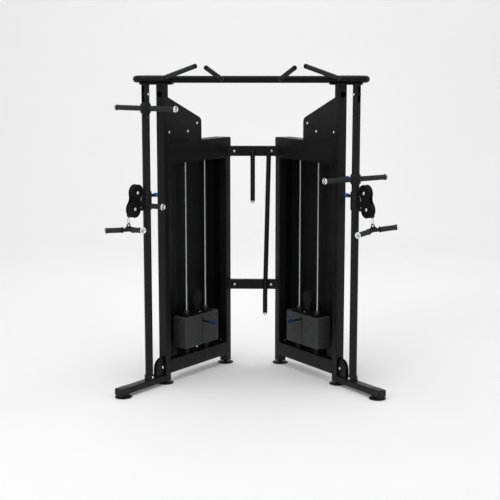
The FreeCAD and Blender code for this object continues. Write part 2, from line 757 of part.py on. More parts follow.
def pull_up_bar():
    """One bent tube: straight over the columns, turned back at each end over the uprights."""
    bend = PULL_UP_RETURN / 2
    turn = PULL_UP_END - PULL_UP_RADIUS - bend
    z, front = PULL_UP_Z, COLUMN_Y
    back = front + PULL_UP_RETURN
    edges = [Part.makeLine(V(-PULL_UP_RETURN_END, back, z), V(-turn, back, z))]
    edges.append(
        Part.Arc(V(-turn, back, z), V(-turn - bend, front + bend, z), V(-turn, front, z)).toShape()
    )
    edges.append(Part.makeLine(V(-turn, front, z), V(turn, front, z)))
    edges.append(
        Part.Arc(V(turn, front, z), V(turn + bend, front + bend, z), V(turn, back, z)).toShape()
    )
    edges.append(Part.makeLine(V(turn, back, z), V(PULL_UP_RETURN_END, back, z)))
    section = Part.Wire(
        Part.makeCircle(PULL_UP_RADIUS, V(-PULL_UP_RETURN_END, back, z), V(-1, 0, 0))
    )
    bar = Part.Wire(edges).makePipeShell([section], True, False)
    return [bar]


def top_plates():
    """The flat plates that join each column and upright to the pull-up bar."""
    front, back = COLUMN_Y - 27, COLUMN_Y + 186
    z0, z1 = COLUMN_TOP, PULL_UP_Z - PULL_UP_RADIUS
    outline = [
        (-800, front + 16),
        (-784, front),
        (-581, front),
        (-565, front + 16),
        (-565, back - 16),
        (-581, back),
        (-784, back),
        (-800, back - 16),
    ]
    return across(sheet(outline, z0, z1))


def pull_up_grips():
    """Four slanted grips, welded to the bar's front and standing up towards the user."""
    pieces = []
    core = PULL_UP_RADIUS
    bar = rod((-900, COLUMN_Y, PULL_UP_Z), (900, COLUMN_Y, PULL_UP_Z), core)
    for root, end in PULL_UP_GRIPS:
        root, end = V(*root) + V(0, COLUMN_Y, 0), V(*end) + V(0, COLUMN_Y, 0)
        shape = Part.makeCylinder(PULL_UP_GRIP_RADIUS, (end - root).Length, root, end - root).cut(bar)
        pieces += across(max(shape.Solids, key=lambda s: s.Volume))
    return pieces


def crossbars():
    """Two tubes across the back, cut to lie against the rear uprights, with their screws."""
    back = REAR_UPRIGHT_FRONT - UPRIGHT_DEPTH
    y0 = CROSSBAR_FRONT + COLUMN_Y
    y1 = y0 + CROSSBAR_DEPTH
    pieces = []
    for low, high, tower_face in CROSSBARS:
        tower = block(back - 60, REAR_UPRIGHT_FRONT + 60, -120, tower_face, 0, 2000)
        ends = [stand(tower, side) for side in SIDES]
        bar = box_tube(-240, 240, y0, y1, low, high, 0, TUBE_WALL, 5.0).cut(ends)
        pieces.append(max(bar.Solids, key=lambda s: s.Volume))
        for x in (-146, 146):
            mid = (low + high) / 2
            pieces.append(rod((x, y0 - 5, mid), (x, y0, mid), 10.0))
    return pieces


def pegs():
    """The pegs on the upper crossbar that the loose bars hang on."""
    y0 = CROSSBAR_FRONT + COLUMN_Y
    pieces = []
    for x in (-1.0, 125.0):
        profile = [(0.0, 0.0), (0.0, 6.0), (33.0, 6.0), (33.0, 12.0), (37.0, 12.0), (37.0, 0.0)]
        pieces.append(turned(profile, (x, y0, PEG_Z), (0, -1, 0), (0, 0, 1)))
    return pieces


def hanging_bar(x, low, kink=None):
    """A loose bar: an eye plate, a round bar that may bend near its lower end, and an end cap."""
    y = COLUMN_Y + CROSSBAR_FRONT - 19.5
    top = PEG_Z - 30
    eye = rod((x, y - 3, PEG_Z - 2.4), (x, y + 3, PEG_Z - 2.4), 16.0)
    eye = eye.fuse(block(x - 12, x + 12, y - 3, y + 3, top - 14, PEG_Z - 8))
    eye = eye.cut(rod((x, y - 9, PEG_Z - 2.4), (x, y + 9, PEG_Z - 2.4), 8.7))
    joint = kink if kink else (x, low)
    shaft = rod((x, y, top - 10), (joint[0], y, joint[1]), 18.5)
    pieces = [Part.makeSphere(18.5, V(x, y, top - 10)), eye]
    end = (joint[0], low)
    if kink:
        pieces += [Part.makeSphere(18.5, V(kink[0], y, kink[1]))]
        pieces += [rod((kink[0], y, kink[1]), (end[0], y, end[1]), 18.5)]
    bar = clean(shaft.fuse(pieces))
    cap = turned(
        [(0.0, 0.0), (0.0, 18.5), (8.0, 18.5), (20.0, 9.0), (22.0, 0.0)],
        (end[0], y, end[1]),
        (0, 0, -1),
        (1, 0, 0),
    )
    return [bar, cap]


def build():
    os.makedirs("parts", exist_ok=True)

    keep_pair("base_beams", base_beam)
    keep_pair("end_shoes", end_shoe)
    keep_pair("feet", feet)
    keep_each("front_upright", front_upright)
    keep_pair("rear_uprights", rear_upright)
    keep_each("column", column)
    keep_pair("column_sockets", column_socket)
    keep_pair("bottom_rails", bottom_rail)
    keep_pair("top_boxes", top_box)
    keep_pair("gusset_plates", gusset)
    keep_pair("shrouds", shroud)
    keep_pair("guide_rods", guide_rods)
    keep_pair("stack_bumpers", bumpers)
    keep_pair("base_pulley_housings", base_pulley_housing)
    keep_pair("frame_bolts", frame_bolts)

    resting = []
    for side in SIDES:
        for level in range(PLATE_COUNT - LIFTED[side]):
            resting.append(stand(weight_plate(level), side))
    keep("resting_plates", resting)

    keep_each("lifted_plates", lifted_plates)
    keep_each("head_plate", head_plate)
    keep_each("stack_bracket", stack_bracket)
    keep_each("selector_pin", selector_pin)
    keep_each("stack_pulley", lambda side: sheave(STACK_CENTRE, STACK_PULLEY_Z, 52.0, 8.5))

    keep_each("base_pulley", lambda side: sheave(*BASE_PULLEY, 56.0, 8.5))
    keep_each("tower_pulley_rear", lambda side: sheave(*TOWER_PULLEY_REAR, 50.0, 10.0))
    keep_each("tower_pulley_front", lambda side: sheave(*TOWER_PULLEY_FRONT, 50.0, 10.0))
    keep_each("column_pulley", column_pulley)

    keep_each("carriage", carriage)
    keep_each("carriage_pin", lambda side: pop_pin(CARRIAGE_PIN_Z))
    keep_each("pulley_housing", pulley_housing)
    keep_each("swivel_pulley_upper", lambda side: sheave(*UPPER_PULLEY, 54.0, 11.0))
    keep_each("swivel_pulley_lower", lambda side: sheave(*LOWER_PULLEY, 54.0, 11.0))
    keep_each("carabiner", carabiner)
    keep_each("pull_handle", pull_handle)
    keep_each("t_bar", t_bar)
    keep_each("t_bar_pin", lambda side: pop_pin(T_BAR_PIN_Z[side]))

    keep("pull_up_bar", pull_up_bar())
    keep("top_plates", top_plates())
    keep("pull_up_grips", pull_up_grips())
    keep("rear_crossbars", crossbars() + pegs())
    keep("short_bar", hanging_bar(-1.0, 1322.0))
    keep("lat_bar", hanging_bar(125.0, 424.0, (98.2, 560.0)))


build()
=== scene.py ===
import json
import math

import bmesh
import bpy
from mathutils import Matrix, Vector


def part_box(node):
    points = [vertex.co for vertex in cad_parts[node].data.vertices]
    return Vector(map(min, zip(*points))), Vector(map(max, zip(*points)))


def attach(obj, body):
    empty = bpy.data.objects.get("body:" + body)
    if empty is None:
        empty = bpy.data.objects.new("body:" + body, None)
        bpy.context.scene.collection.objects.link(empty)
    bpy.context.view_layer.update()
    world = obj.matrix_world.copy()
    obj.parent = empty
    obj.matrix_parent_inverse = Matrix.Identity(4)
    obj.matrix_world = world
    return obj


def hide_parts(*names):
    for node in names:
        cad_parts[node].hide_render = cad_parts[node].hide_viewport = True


# Looks of the functional trainer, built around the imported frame. Metres, +Z up.
# A tower's own directions are s (outwards to the front from its column), t (across it,
# towards the middle of the machine) and z. The right tower is the mirror image of the left.

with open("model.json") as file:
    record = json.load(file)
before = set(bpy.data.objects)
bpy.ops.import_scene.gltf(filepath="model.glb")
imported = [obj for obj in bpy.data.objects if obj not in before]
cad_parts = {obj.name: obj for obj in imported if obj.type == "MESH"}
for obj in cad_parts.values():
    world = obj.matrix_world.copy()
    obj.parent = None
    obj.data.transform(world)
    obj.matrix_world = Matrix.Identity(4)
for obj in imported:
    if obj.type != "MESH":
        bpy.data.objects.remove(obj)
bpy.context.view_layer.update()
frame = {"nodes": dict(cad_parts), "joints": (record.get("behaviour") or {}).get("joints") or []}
JOINTS = {j["name"]: j for j in frame["joints"]}
SIDES = ("left", "right")

# sizes that several pieces share
COLUMN_BORE = 0.02895
TUBE_RADIUS = 0.0140
GRIP_RADIUS = 0.0190
CAP_RADIUS = 0.0235
UPRIGHT_FRONT = -0.1568
UPRIGHT_BACK = -0.2164
HOLE_PITCH = 0.0635
ZERO_HOLE = 1.571
HOLE_COUNT = 30
PLATE_COUNT = 16
PULLEYS = (
    ("stack_pulley", 0.052, 0.0085),
    ("base_pulley", 0.056, 0.0085),
    ("tower_pulley_rear", 0.050, 0.010),
    ("tower_pulley_front", 0.050, 0.010),
    ("swivel_pulley_upper", 0.054, 0.011),
    ("swivel_pulley_lower", 0.054, 0.011),
)


def millimetres(*values):
    """Metres from millimetres."""
    return tuple(v / 1000.0 for v in values)


def centre_of(node):
    low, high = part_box(node)
    return (low + high) / 2


def tower(side):
    """The matrix that takes (s, t, z) of one tower to its place in the frame."""
    across = Vector(JOINTS["column_pulley_spin_" + side]["axis"])
    hand = 1.0 if side == "left" else -1.0
    along = Vector((across.y, -across.x, 0.0)) * hand
    middle = centre_of("column_" + side)
    matrix = Matrix.Identity(4)
    matrix.col[0][0:3] = along
    matrix.col[1][0:3] = across
    matrix.col[3][0:3] = (middle.x, middle.y, 0.0)
    return matrix


TOWERS = {side: tower(side) for side in SIDES}


def local(side, point):
    """A place in the frame as (s, t, z) of one tower."""
    return TOWERS[side].inverted() @ Vector(point)


def spin_centre(side, node):
    """The middle of a pulley, in its tower's own directions."""
    return local(side, JOINTS[node + "_spin_" + side]["pos_m"])


# ---- materials ----

def new_material(name, colour, roughness, metallic=0.0, **inputs):
    material = bpy.data.materials.new(name)
    material.use_nodes = True
    shader = material.node_tree.nodes["Principled BSDF"]
    shader.inputs["Base Color"].default_value = (*colour, 1.0)
    shader.inputs["Roughness"].default_value = roughness
    shader.inputs["Metallic"].default_value = metallic
    for key, value in inputs.items():
        shader.inputs[key.replace("_", " ")].default_value = value
    return material, material.node_tree, shader


def add_node(tree, kind, **values):
    node = tree.nodes.new(kind)
    for key, value in values.items():
        if key in node.inputs:
            node.inputs[key].default_value = value
        else:
            setattr(node, key, value)
    return node


def noise_of(tree, scale, detail=3.0, roughness=0.55, stretch=None):
    """A noise over the object's own coordinates, optionally stretched along one axis."""
    coords = add_node(tree, "ShaderNodeTexCoord")
    noise = add_node(tree, "ShaderNodeTexNoise", Scale=scale, Detail=detail, Roughness=roughness)
    if stretch:
        mapping = add_node(tree, "ShaderNodeMapping", Scale=stretch)
        tree.links.new(coords.outputs["Object"], mapping.inputs["Vector"])
        tree.links.new(mapping.outputs["Vector"], noise.inputs["Vector"])
    else:
        tree.links.new(coords.outputs["Object"], noise.inputs["Vector"])
    return noise


def ramp_between(tree, source, low, high, start=0.35, end=0.65):
    ramp = add_node(tree, "ShaderNodeValToRGB")
    ramp.color_ramp.elements[0].position = start
    ramp.color_ramp.elements[1].position = end
    ramp.color_ramp.elements[0].color = (*low, 1.0)
    ramp.color_ramp.elements[1].color = (*high, 1.0)
    tree.links.new(source, ramp.inputs["Fac"])
    return ramp


def vary_colour(tree, shader, low, high, scale, stretch=None, start=0.3, end=0.7):
    noise = noise_of(tree, scale, stretch=stretch)
    ramp = ramp_between(tree, noise.outputs["Fac"], low, high, start, end)
    tree.links.new(ramp.outputs["Color"], shader.inputs["Base Color"])


def vary_roughness(tree, shader, low, high, scale, stretch=None):
    noise = noise_of(tree, scale, detail=4.0, stretch=stretch)
    limits = {"From Min": 0.3, "From Max": 0.7, "To Min": low, "To Max": high}
    spread = add_node(tree, "ShaderNodeMapRange", **limits)
    tree.links.new(noise.outputs["Fac"], spread.inputs["Value"])
    tree.links.new(spread.outputs["Result"], shader.inputs["Roughness"])


def add_bump(tree, shader, scale, strength, depth, stretch=None, detail=2.0):
    noise = noise_of(tree, scale, detail=detail, stretch=stretch)
    bump = add_node(tree, "ShaderNodeBump", Strength=strength, Distance=depth)
    tree.links.new(noise.outputs["Fac"], bump.inputs["Height"])
    tree.links.new(bump.outputs["Normal"], shader.inputs["Normal"])
    return bump


def powder_coat(name, dark, light, roughness, shine):
    """Black powder coat: orange-peel bump, faint mottling and rubbed patches."""
    material, tree, shader = new_material(name, dark, roughness, Specular_IOR_Level=shine)
    vary_colour(tree, shader, dark, light, 5.0)
    vary_roughness(tree, shader, roughness - 0.06, roughness + 0.08, 9.0)
    add_bump(tree, shader, 420.0, 0.22, 0.0004)
    return material


def polished_metal(name, colour, roughness, stretch=(1.0, 1.0, 0.05)):
    material, tree, shader = new_material(name, colour, roughness, 1.0)
    vary_roughness(tree, shader, roughness * 0.7, roughness * 1.6, 260.0, stretch)
    add_bump(tree, shader, 700.0, 0.08, 0.0002, stretch)
    return material


def rubber(name, dark, light, grain):
    """Soft matt rubber with a fine pebble grain and a slight sheen."""
    material, tree, shader = new_material(name, dark, 0.62, Specular_IOR_Level=0.25)
    vary_colour(tree, shader, dark, light, 22.0)
    vary_roughness(tree, shader, 0.52, 0.7, 40.0)
    coords = add_node(tree, "ShaderNodeTexCoord")
    cells = add_node(tree, "ShaderNodeTexVoronoi", Scale=grain)
    bump = add_node(tree, "ShaderNodeBump", Strength=0.35, Distance=0.0004)
    tree.links.new(coords.outputs["Object"], cells.inputs["Vector"])
    tree.links.new(cells.outputs["Distance"], bump.inputs["Height"])
    tree.links.new(bump.outputs["Normal"], shader.inputs["Normal"])
    return material


def moulded(name, dark, light, roughness, grain=600.0):
    material, tree, shader = new_material(name, dark, roughness, Specular_IOR_Level=0.22)
    vary_colour(tree, shader, dark, light, 30.0)
    vary_roughness(tree, shader, roughness - 0.05, roughness + 0.1, 60.0)
    add_bump(tree, shader, grain, 0.15, 0.0002)
    return material


def plate_steel(name, dark, light):
    """Dark cast plates: a rolled grain across them with paler scuffs."""
    material, tree, shader = new_material(name, dark, 0.5, Specular_IOR_Level=0.25)
    vary_colour(tree, shader, dark, light, 60.0, stretch=(1.0, 1.0, 9.0))
    vary_roughness(tree, shader, 0.38, 0.6, 35.0)
    add_bump(tree, shader, 240.0, 0.3, 0.0004, stretch=(1.0, 1.0, 6.0))
    return material


MATERIALS = {
    "frame": powder_coat("black_powder_coat", (0.0052, 0.0053, 0.0055), (0.0082, 0.0083, 0.0086), 0.36, 0.17),
    # bar: a darker copy of the frame's powder coat, painted shade that holds the pull-up bar and top plates
    # down under the top light
    "bar": powder_coat("bar_powder_coat_painted_shade", (0.0034, 0.0035, 0.0037), (0.0054, 0.0055, 0.0058), 0.40, 0.10),
    "sheet": powder_coat("shroud_coat", (0.0042, 0.0042, 0.0043), (0.0064, 0.0064, 0.0065), 0.42, 0.15),
    "deep": powder_coat("satin_black_steel", (0.0034, 0.0034, 0.0035), (0.0054, 0.0054, 0.0056), 0.34, 0.15),
    # hole: near-black painted shade for screw sockets, thin grooves and seams, dimples and pin holes drawn as
    # discs, grip end plugs and the gaps between weight plates
    "hole": moulded("painted_recess_shade", (0.0008, 0.0008, 0.0008), (0.0014, 0.0014, 0.0014), 0.8),
    "chrome": polished_metal("polished_chrome", (0.80, 0.82, 0.84), 0.10),
    "rod": polished_metal("ground_rod_steel", (0.40, 0.43, 0.44), 0.20),
    "zinc": polished_metal("zinc_bolt", (0.78, 0.79, 0.83), 0.26, (1.0, 1.0, 1.0)),
    "grip": rubber("grip_rubber", (0.0125, 0.0130, 0.0135), (0.0185, 0.0190, 0.0195), 900.0),
    "foot": rubber("foot_rubber", (0.0040, 0.0040, 0.0040), (0.0065, 0.0065, 0.0065), 500.0),
    "shoe": moulded("shoe_plastic", (0.0070, 0.0070, 0.0072), (0.0105, 0.0105, 0.0108), 0.42),
    "nylon": moulded("pulley_nylon", (0.0050, 0.0050, 0.0052), (0.0078, 0.0078, 0.0080), 0.40),
    "blue": moulded("blue_knob_plastic", (0.014, 0.078, 0.360), (0.022, 0.110, 0.470), 0.26, 900.0),
    # the blue plastic darkened: painted shade for the weight pin's handle, which sits in shadow
    "blue_painted_shade": moulded("blue_pin_plastic_painted_shade", (0.004, 0.014, 0.055), (0.006, 0.020, 0.080), 0.32, 900.0),
    "collar": powder_coat("grey_bush", (0.030, 0.030, 0.031), (0.044, 0.044, 0.045), 0.5, 0.3),
    "plates": plate_steel("weight_plate_steel", (0.040, 0.041, 0.042), (0.062, 0.063, 0.064)),
    "mark": moulded("index_paint", (0.09, 0.09, 0.09), (0.15, 0.15, 0.15), 0.6),
}


def dress(node, key):
    """Gives a CAD node that is shown as it is one of the materials."""
    slots = frame["nodes"][node].data.materials
    slots.clear()
    slots.append(MATERIALS[key])


# ---- shapes, in metres, in a tower's (s, t, z) or in the frame ----

def perpendicular(axis):
    helper = Vector((0, 0, 1)) if abs(axis.z) < 0.9 else Vector((1, 0, 0))
    side = axis.cross(helper).normalized()
    return side, axis.cross(side).normalized()


def lathe(bm, base, axis, profile, segments=48, lobes=0, depth=0.0, slot=0):
    """A turned shape from (along, radius) points; a profile that ends off the axis is a ring."""
    base, axis = Vector(base), Vector(axis).normalized()
    side, up = perpendicular(axis)
    closed = profile[0][1] > 1e-7 and profile[-1][1] > 1e-7
    rows = []
    for along, radius in profile:
        if radius <= 1e-7:
            rows.append([bm.verts.new(base + axis * along)])
            continue
        row = []
        for k in range(segments):
            angle = 2 * math.pi * k / segments
            r = radius * (1 + depth * math.cos(lobes * angle)) if lobes else radius
            out = side * math.cos(angle) + up * math.sin(angle)
            row.append(bm.verts.new(base + axis * along + out * r))
        rows.append(row)
    pairs = list(zip(rows, rows[1:]))
    if closed:
        pairs.append((rows[-1], rows[0]))
    for a, b in pairs:
        for k in range(segments):
            n = (k + 1) % segments
            if len(a) == 1 and len(b) == 1:
                continue
            if len(a) == 1:
                face = bm.faces.new((a[0], b[k], b[n]))
            elif len(b) == 1:
                face = bm.faces.new((a[k], b[0], a[n]))
            else:
                face = bm.faces.new((a[k], b[k], b[n], a[n]))
            face.material_index = slot


def pipe(start, end, radius, inner=0):
    """Profile for lathe of a plain round bar, or of a tube when inner is given."""
    return [(start, inner), (start, radius), (end, radius), (end, inner)]


def slab(bm, outline, low, high, axis, slot=0):
    """A flat shape from 2D points, between two values along one axis (0, 1 or 2)."""
    def place(pair, depth):
        values = list(pair)
        values.insert(axis, depth)
        return Vector(values)

    bottom = [bm.verts.new(place(p, low)) for p in outline]
    top = [bm.verts.new(place(p, high)) for p in outline]
    faces = [bm.faces.new(bottom), bm.faces.new(list(reversed(top)))]
    for k in range(len(outline)):
        n = (k + 1) % len(outline)
        faces.append(bm.faces.new((bottom[k], top[k], top[n], bottom[n])))
    for face in faces:
        face.material_index = slot


def brick(bm, low, high, slot=0):
    outline = [(low[0], low[1]), (high[0], low[1]), (high[0], high[1]), (low[0], high[1])]
    slab(bm, outline, low[2], high[2], 2, slot)


def pierced(bm, outer, inner, levels, place):
    """A flat plate with one hole: both loops at each of two levels, filled and then joined."""
    loops = []
    for level in levels:
        rings = [[bm.verts.new(place(p, level)) for p in loop] for loop in (outer, inner)]
        edges = []
        for ring in rings:
            edges += [bm.edges.new((ring[k], ring[(k + 1) % len(ring)])) for k in range(len(ring))]
        bmesh.ops.triangle_fill(bm, use_beauty=True, edges=edges)
        loops.append(rings)
    for a, b in zip(loops[0], loops[1]):
        for k in range(len(a)):
            n = (k + 1) % len(a)
            bm.faces.new((a[k], b[k], b[n], a[n]))


def arc(centre, radius, start, end, count):
    """Points of an arc between two angles in degrees."""
    points = []
    for k in range(count + 1):
        angle = math.radians(start + (end - start) * k / count)
        points.append((centre[0] + radius * math.cos(angle), centre[1] + radius * math.sin(angle)))
    return points


def rounded(low, high, radius, count=5):
    """A rounded rectangle's outline between two corners."""
    (x0, y0), (x1, y1) = low, high
    corners = (
        ((x1 - radius, y1 - radius), 0),
        ((x0 + radius, y1 - radius), 90),
        ((x0 + radius, y0 + radius), 180),
        ((x1 - radius, y0 + radius), 270),
    )
    points = []
    for centre, start in corners:
        points += arc(centre, radius, start, start + 90, count)
    return points


def ring_of(bm, centre, across, up, radius, count=8):
    """Points evenly round a centre."""
    ring = []
    for j in range(count):
        turn = 2 * math.pi * j / count
        out = across * (radius * math.cos(turn)) + up * (radius * math.sin(turn))
        ring.append(bm.verts.new(centre + out))
    return ring


def skin(bm, rings, slot=0):
    """Faces from each ring to the next."""
    for a, b in zip(rings, rings[1:]):
        for j in range(len(a)):
            n = (j + 1) % len(a)
            bm.faces.new((a[j], a[n], b[n], b[j])).material_index = slot


def ring_bead(bm, centre, axis, radius, thick, segments=48, ripples=0, slot=0):
    """A weld bead round a tube: a small torus whose thickness ripples."""
    axis = Vector(axis).normalized()
    side, up = perpendicular(axis)
    rings = []
    for k in range(segments):
        angle = 2 * math.pi * k / segments
        out = side * math.cos(angle) + up * math.sin(angle)
        r = thick * (1 + 0.16 * math.sin(ripples * angle)) if ripples else thick
        rings.append(ring_of(bm, Vector(centre) + out * radius, out, axis, r))
    skin(bm, rings + rings[:1], slot)


def line_bead(bm, start, end, thick, pitch=0.006, slot=0):
    """A straight weld bead made of overlapping ripples."""
    start, end = Vector(start), Vector(end)
    run = end - start
    axis = run.normalized()
    side, up = perpendicular(axis)
    count = max(4, int(run.length / pitch) * 2)
    rings = []
    for k in range(count + 1):
        r = thick * (0.86 + 0.14 * (k % 2))
        r *= 0.35 if k in (0, count) else 1.0
        rings.append(ring_of(bm, start + run * (k / count), side, up, r))
    skin(bm, rings, slot)
    for ring in (rings[0], rings[-1]):
        bm.faces.new(ring).material_index = slot


def ball_profile(radius, start, end, step):
    """(along, radius) points of a ball from one pole towards the other."""
    angles = [math.radians(a) for a in range(start, end, step)]
    return [(-radius * math.cos(a), radius * math.sin(a)) for a in angles]


def hexagon(bm, base, axis, size, height, slot=0):
    """A hex head with a chamfered crown on a washer."""
    lathe(bm, base, axis, pipe(0, height * 0.2, size * 1.25), 32, slot=slot)
    top = Vector(base) + Vector(axis).normalized() * height * 0.2
    profile = [(0, 0), (0, size), (height * 0.7, size), (height * 0.8, size * 0.82), (height * 0.8, 0)]
    lathe(bm, top, axis, profile, 6, slot=slot)


def button_head(bm, base, axis, size, height, slot=0, socket=1):
    """A domed screw head with a hexagon socket sunk in it; the socket takes the socket slot, which most
    pieces fill with near-black painted shade.
    """
    profile = [(0, 0), (0, size)]
    for k in range(1, 6):
        angle = math.radians(15 * k)
        profile.append((height * math.sin(angle), size * math.cos(angle)))
    profile += [(height * 0.97, size * 0.42), (height * 0.45, size * 0.38), (height * 0.45, 0)]
    lathe(bm, base, axis, profile, 36, slot=slot)
    floor = Vector(base) + Vector(axis).normalized() * height * 0.46
    # socket floor: a shallow hexagonal cone, near-black painted shade where the caller gives the recess
    # material
    lathe(bm, floor, axis, [(0, 0), (0, size * 0.37), (height * 0.02, 0)], 6, slot=socket)


def keep(name, bm, body, keys, side=None, replaces=(), bevel=0.0, angle=35.0):
    """Makes a piece from a bmesh: places it, gives its materials and ties it to a body."""
    if side:
        bm.transform(TOWERS[side])
    bmesh.ops.recalc_face_normals(bm, faces=bm.faces)
    mesh = bpy.data.meshes.new(name)
    bm.to_mesh(mesh)
    bm.free()
    for key in keys:
        mesh.materials.append(MATERIALS[key])
    mesh.shade_smooth()
    mesh.set_sharp_from_angle(angle=math.radians(angle))
    piece = bpy.data.objects.new(name, mesh)
    bpy.context.scene.collection.objects.link(piece)
    if bevel:
        rounding = piece.modifiers.new("edges", "BEVEL")
        rounding.width = bevel
        rounding.segments = 2
        rounding.limit_method = "ANGLE"
        rounding.angle_limit = math.radians(40)
        rounding.harden_normals = True
    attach(piece, body)
    if replaces:
        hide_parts(*replaces)
    return piece


# ---- camera, floor and light ----

def make_camera():
    data = bpy.data.cameras.new("camera")
    data.lens = 87.16
    data.sensor_width = 36.0
    camera = bpy.data.objects.new("camera", data)
    bpy.context.scene.collection.objects.link(camera)
    # the front view, measured from the line through the two columns
    columns_y = centre_of("column_left").y
    camera.location = (0.1821, columns_y - 8.7391, 2.489)
    camera.rotation_euler = (math.radians(90 - 9.354), 0.0, math.radians(1.2355))
    bpy.context.scene.camera = camera


def area_light(name, place, target, size, power):
    data = bpy.data.lights.new(name, "AREA")
    data.shape = "RECTANGLE"
    data.size, data.size_y = size
    data.energy = power
    light = bpy.data.objects.new(name, data)
    light.location = place
    light.rotation_euler = (Vector(target) - Vector(place)).to_track_quat("-Z", "Y").to_euler()
    bpy.context.scene.collection.objects.link(light)


def make_studio():
    bm = bmesh.new()
    wide, front, back, rise, bend = 30.0, -30.0, 9.0, 12.0, 3.0
    profile = [(front, 0.0), (back - bend, 0.0)]
    for k in range(1, 13):
        angle = math.radians(7.5 * k)
        profile.append((back - bend + bend * math.sin(angle), bend - bend * math.cos(angle)))
    profile.append((back, rise))
    rows = [[bm.verts.new((x, y, z)) for x in (-wide, wide)] for y, z in profile]
    for a, b in zip(rows, rows[1:]):
        bm.faces.new((a[0], a[1], b[1], b[0]))
    mesh = bpy.data.meshes.new("studio_floor")
    bm.to_mesh(mesh)
    bm.free()
    material, tree, shader = new_material("pale_floor", (0.86, 0.86, 0.86), 0.9)
    vary_colour(tree, shader, (0.85, 0.85, 0.85), (0.87, 0.87, 0.87), 0.6)
    mesh.materials.append(material)
    mesh.shade_smooth()
    floor = bpy.data.objects.new("studio_floor", mesh)
    bpy.context.scene.collection.objects.link(floor)
    world = bpy.data.worlds.new("studio")
    world.use_nodes = True
    sky = world.node_tree.nodes["Background"].inputs
    sky["Color"].default_value = (1.0, 1.0, 1.0, 1.0)
    sky["Strength"].default_value = 0.70
    bpy.context.scene.world = world
    bpy.context.scene.view_settings.view_transform = "Standard"
    area_light("key", (-3.5, -5.5, 5.5), (0, 0, 1.0), (4.0, 3.0), 145.0)
    area_light("fill", (4.5, -4.5, 4.0), (0, 0, 1.0), (4.0, 3.0), 48.0)
    area_light("top", (0.0, 0.5, 6.5), (0, 0.2, 0), (5.0, 4.0), 125.0)
    area_light("backdrop", (0.0, 3.5, 6.0), (0, 9.0, 1.0), (9.0, 2.0), 100.0)


# ---- shared parts ----

def sheave(bm, s, z, radius, half, slot=0, bearing=1):
    """A grooved pulley with a webbed side, a hub and a shielded bearing."""
    groove = radius - 0.009
    profile = [(-half, 0.0142), (-half, 0.0225), (-half + 0.0025, 0.0245), (-half + 0.0025, radius - 0.0150)]
    profile += [(-half, radius - 0.0125), (-half, radius - 0.0008), (-half + 0.0008, radius)]
    profile += [(-half + 0.0018, radius - 0.0002), (-0.0030, groove + 0.0008), (0.0, groove)]
    mirrored = [(-a, r) for a, r in reversed(profile[:-1])]
    lathe(bm, (s, 0, z), (0, 1, 0), profile + mirrored, 72, slot=slot)
    web = half - 0.0028
    for k in range(10):
        angle = 2 * math.pi * k / 10
        middle = (0.0245 + radius - 0.015) / 2
        spot = (s + middle * math.cos(angle), 0, z + middle * math.sin(angle))
        for sign in (-1, 1):
            base = (spot[0], sign * web, spot[2])
            lathe(bm, base, (0, sign, 0), [(0, 0), (0, 0.0032), (0.0016, 0.0026), (0.0016, 0)], 14, slot=slot)
    lathe(bm, (s, 0, z), (0, 1, 0), pipe(-half + 0.001, half - 0.001, 0.0142, 0.0061), 40, slot=bearing)


def axle(bm, s, z, reach, size, height, slot=0, socket=1):
    """A shoulder bolt right through along t: domed head in front, hex nut behind."""
    lathe(bm, (s, 0, z), (0, 1, 0), pipe(-reach, reach, 0.00598), 28, slot=slot)
    button_head(bm, (s, reach, z), (0, 1, 0), size, height, slot, socket)
    hexagon(bm, (s, -reach, z), (0, -1, 0), size * 0.78, height, slot)


def grip_profile(start, end, radius, inner):
    """Rubber sleeve: rounded ends and rows of shallow grooves."""
    profile = [(start, inner), (start, radius - 0.0025), (start + 0.0025, radius)]
    pitch = 0.0065
    count = int((end - start - 0.024) / pitch)
    first = (start + end - (count - 1) * pitch) / 2
    for k in range(count):
        a = first + k * pitch
        profile += [(a - 0.0012, radius), (a, radius - 0.0006), (a + 0.0012, radius)]
    profile += [(end - 0.0025, radius), (end, radius - 0.0025), (end, inner)]
    return profile


def end_cap(bm, base, axis, start, end, radius, slot, socket):
    """Turned bright end cap: soft rim, a dished face with a groove, and a socket screw in it; groove and
    socket are near-black painted shade.
    """
    profile = [
        (start, 0.0141),
        (start, radius - 0.0012),
        (start + 0.0012, radius),
        (end - 0.0030, radius),
        (end - 0.0009, radius - 0.0012),
        (end, radius - 0.0035),
        (end - 0.0002, radius - 0.0062),
        (end - 0.0034, radius - 0.0095),
        (end - 0.0040, 0.0092),
        (end - 0.0040, 0.0),
    ]
    lathe(bm, base, axis, profile, 56, slot=slot)
    floor = Vector(base) + Vector(axis).normalized() * (end - 0.0041)
    # the groove is a thin flat ring in the socket slot: near-black painted shade
    lathe(bm, floor, axis, pipe(0, 0.0003, 0.0096, 0.0072), 40, slot=socket)
    button_head(bm, floor, axis, 0.0066, 0.0034, slot, socket)


def knob(bm, base, axis, start, slot=0):
    """Fluted pull knob of a pop pin."""
    profile = [(start, 0.0), (start, 0.0115), (start + 0.0035, 0.0154), (start + 0.010, 0.0160)]
    profile += [(start + 0.019, 0.0160), (start + 0.024, 0.0146), (start + 0.0275, 0.0095)]
    profile += [(start + 0.0288, 0.0)]
    lathe(bm, base, axis, profile, 60, lobes=6, depth=0.09, slot=slot)


def pop_pin(side, name, node):
    """A spring pin drawn back from the column: its shaft and its knob."""
    low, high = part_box(node + "_" + side)
    z = (low.z + high.z) / 2
    bm = bmesh.new()
    shaft = [(0.0293, 0.0), (0.0293, 0.0045), (0.0310, 0.0060), (0.0842, 0.0060), (0.0842, 0.0)]
    lathe(bm, (0, 0, z), (-1, 0, 0), shaft, 32, slot=1)
    knob(bm, (0, 0, z), (-1, 0, 0), 0.0842)
    body = node + "_" + side
    keep(name + "_" + side, bm, body, ("blue", "deep"), side, (body,))


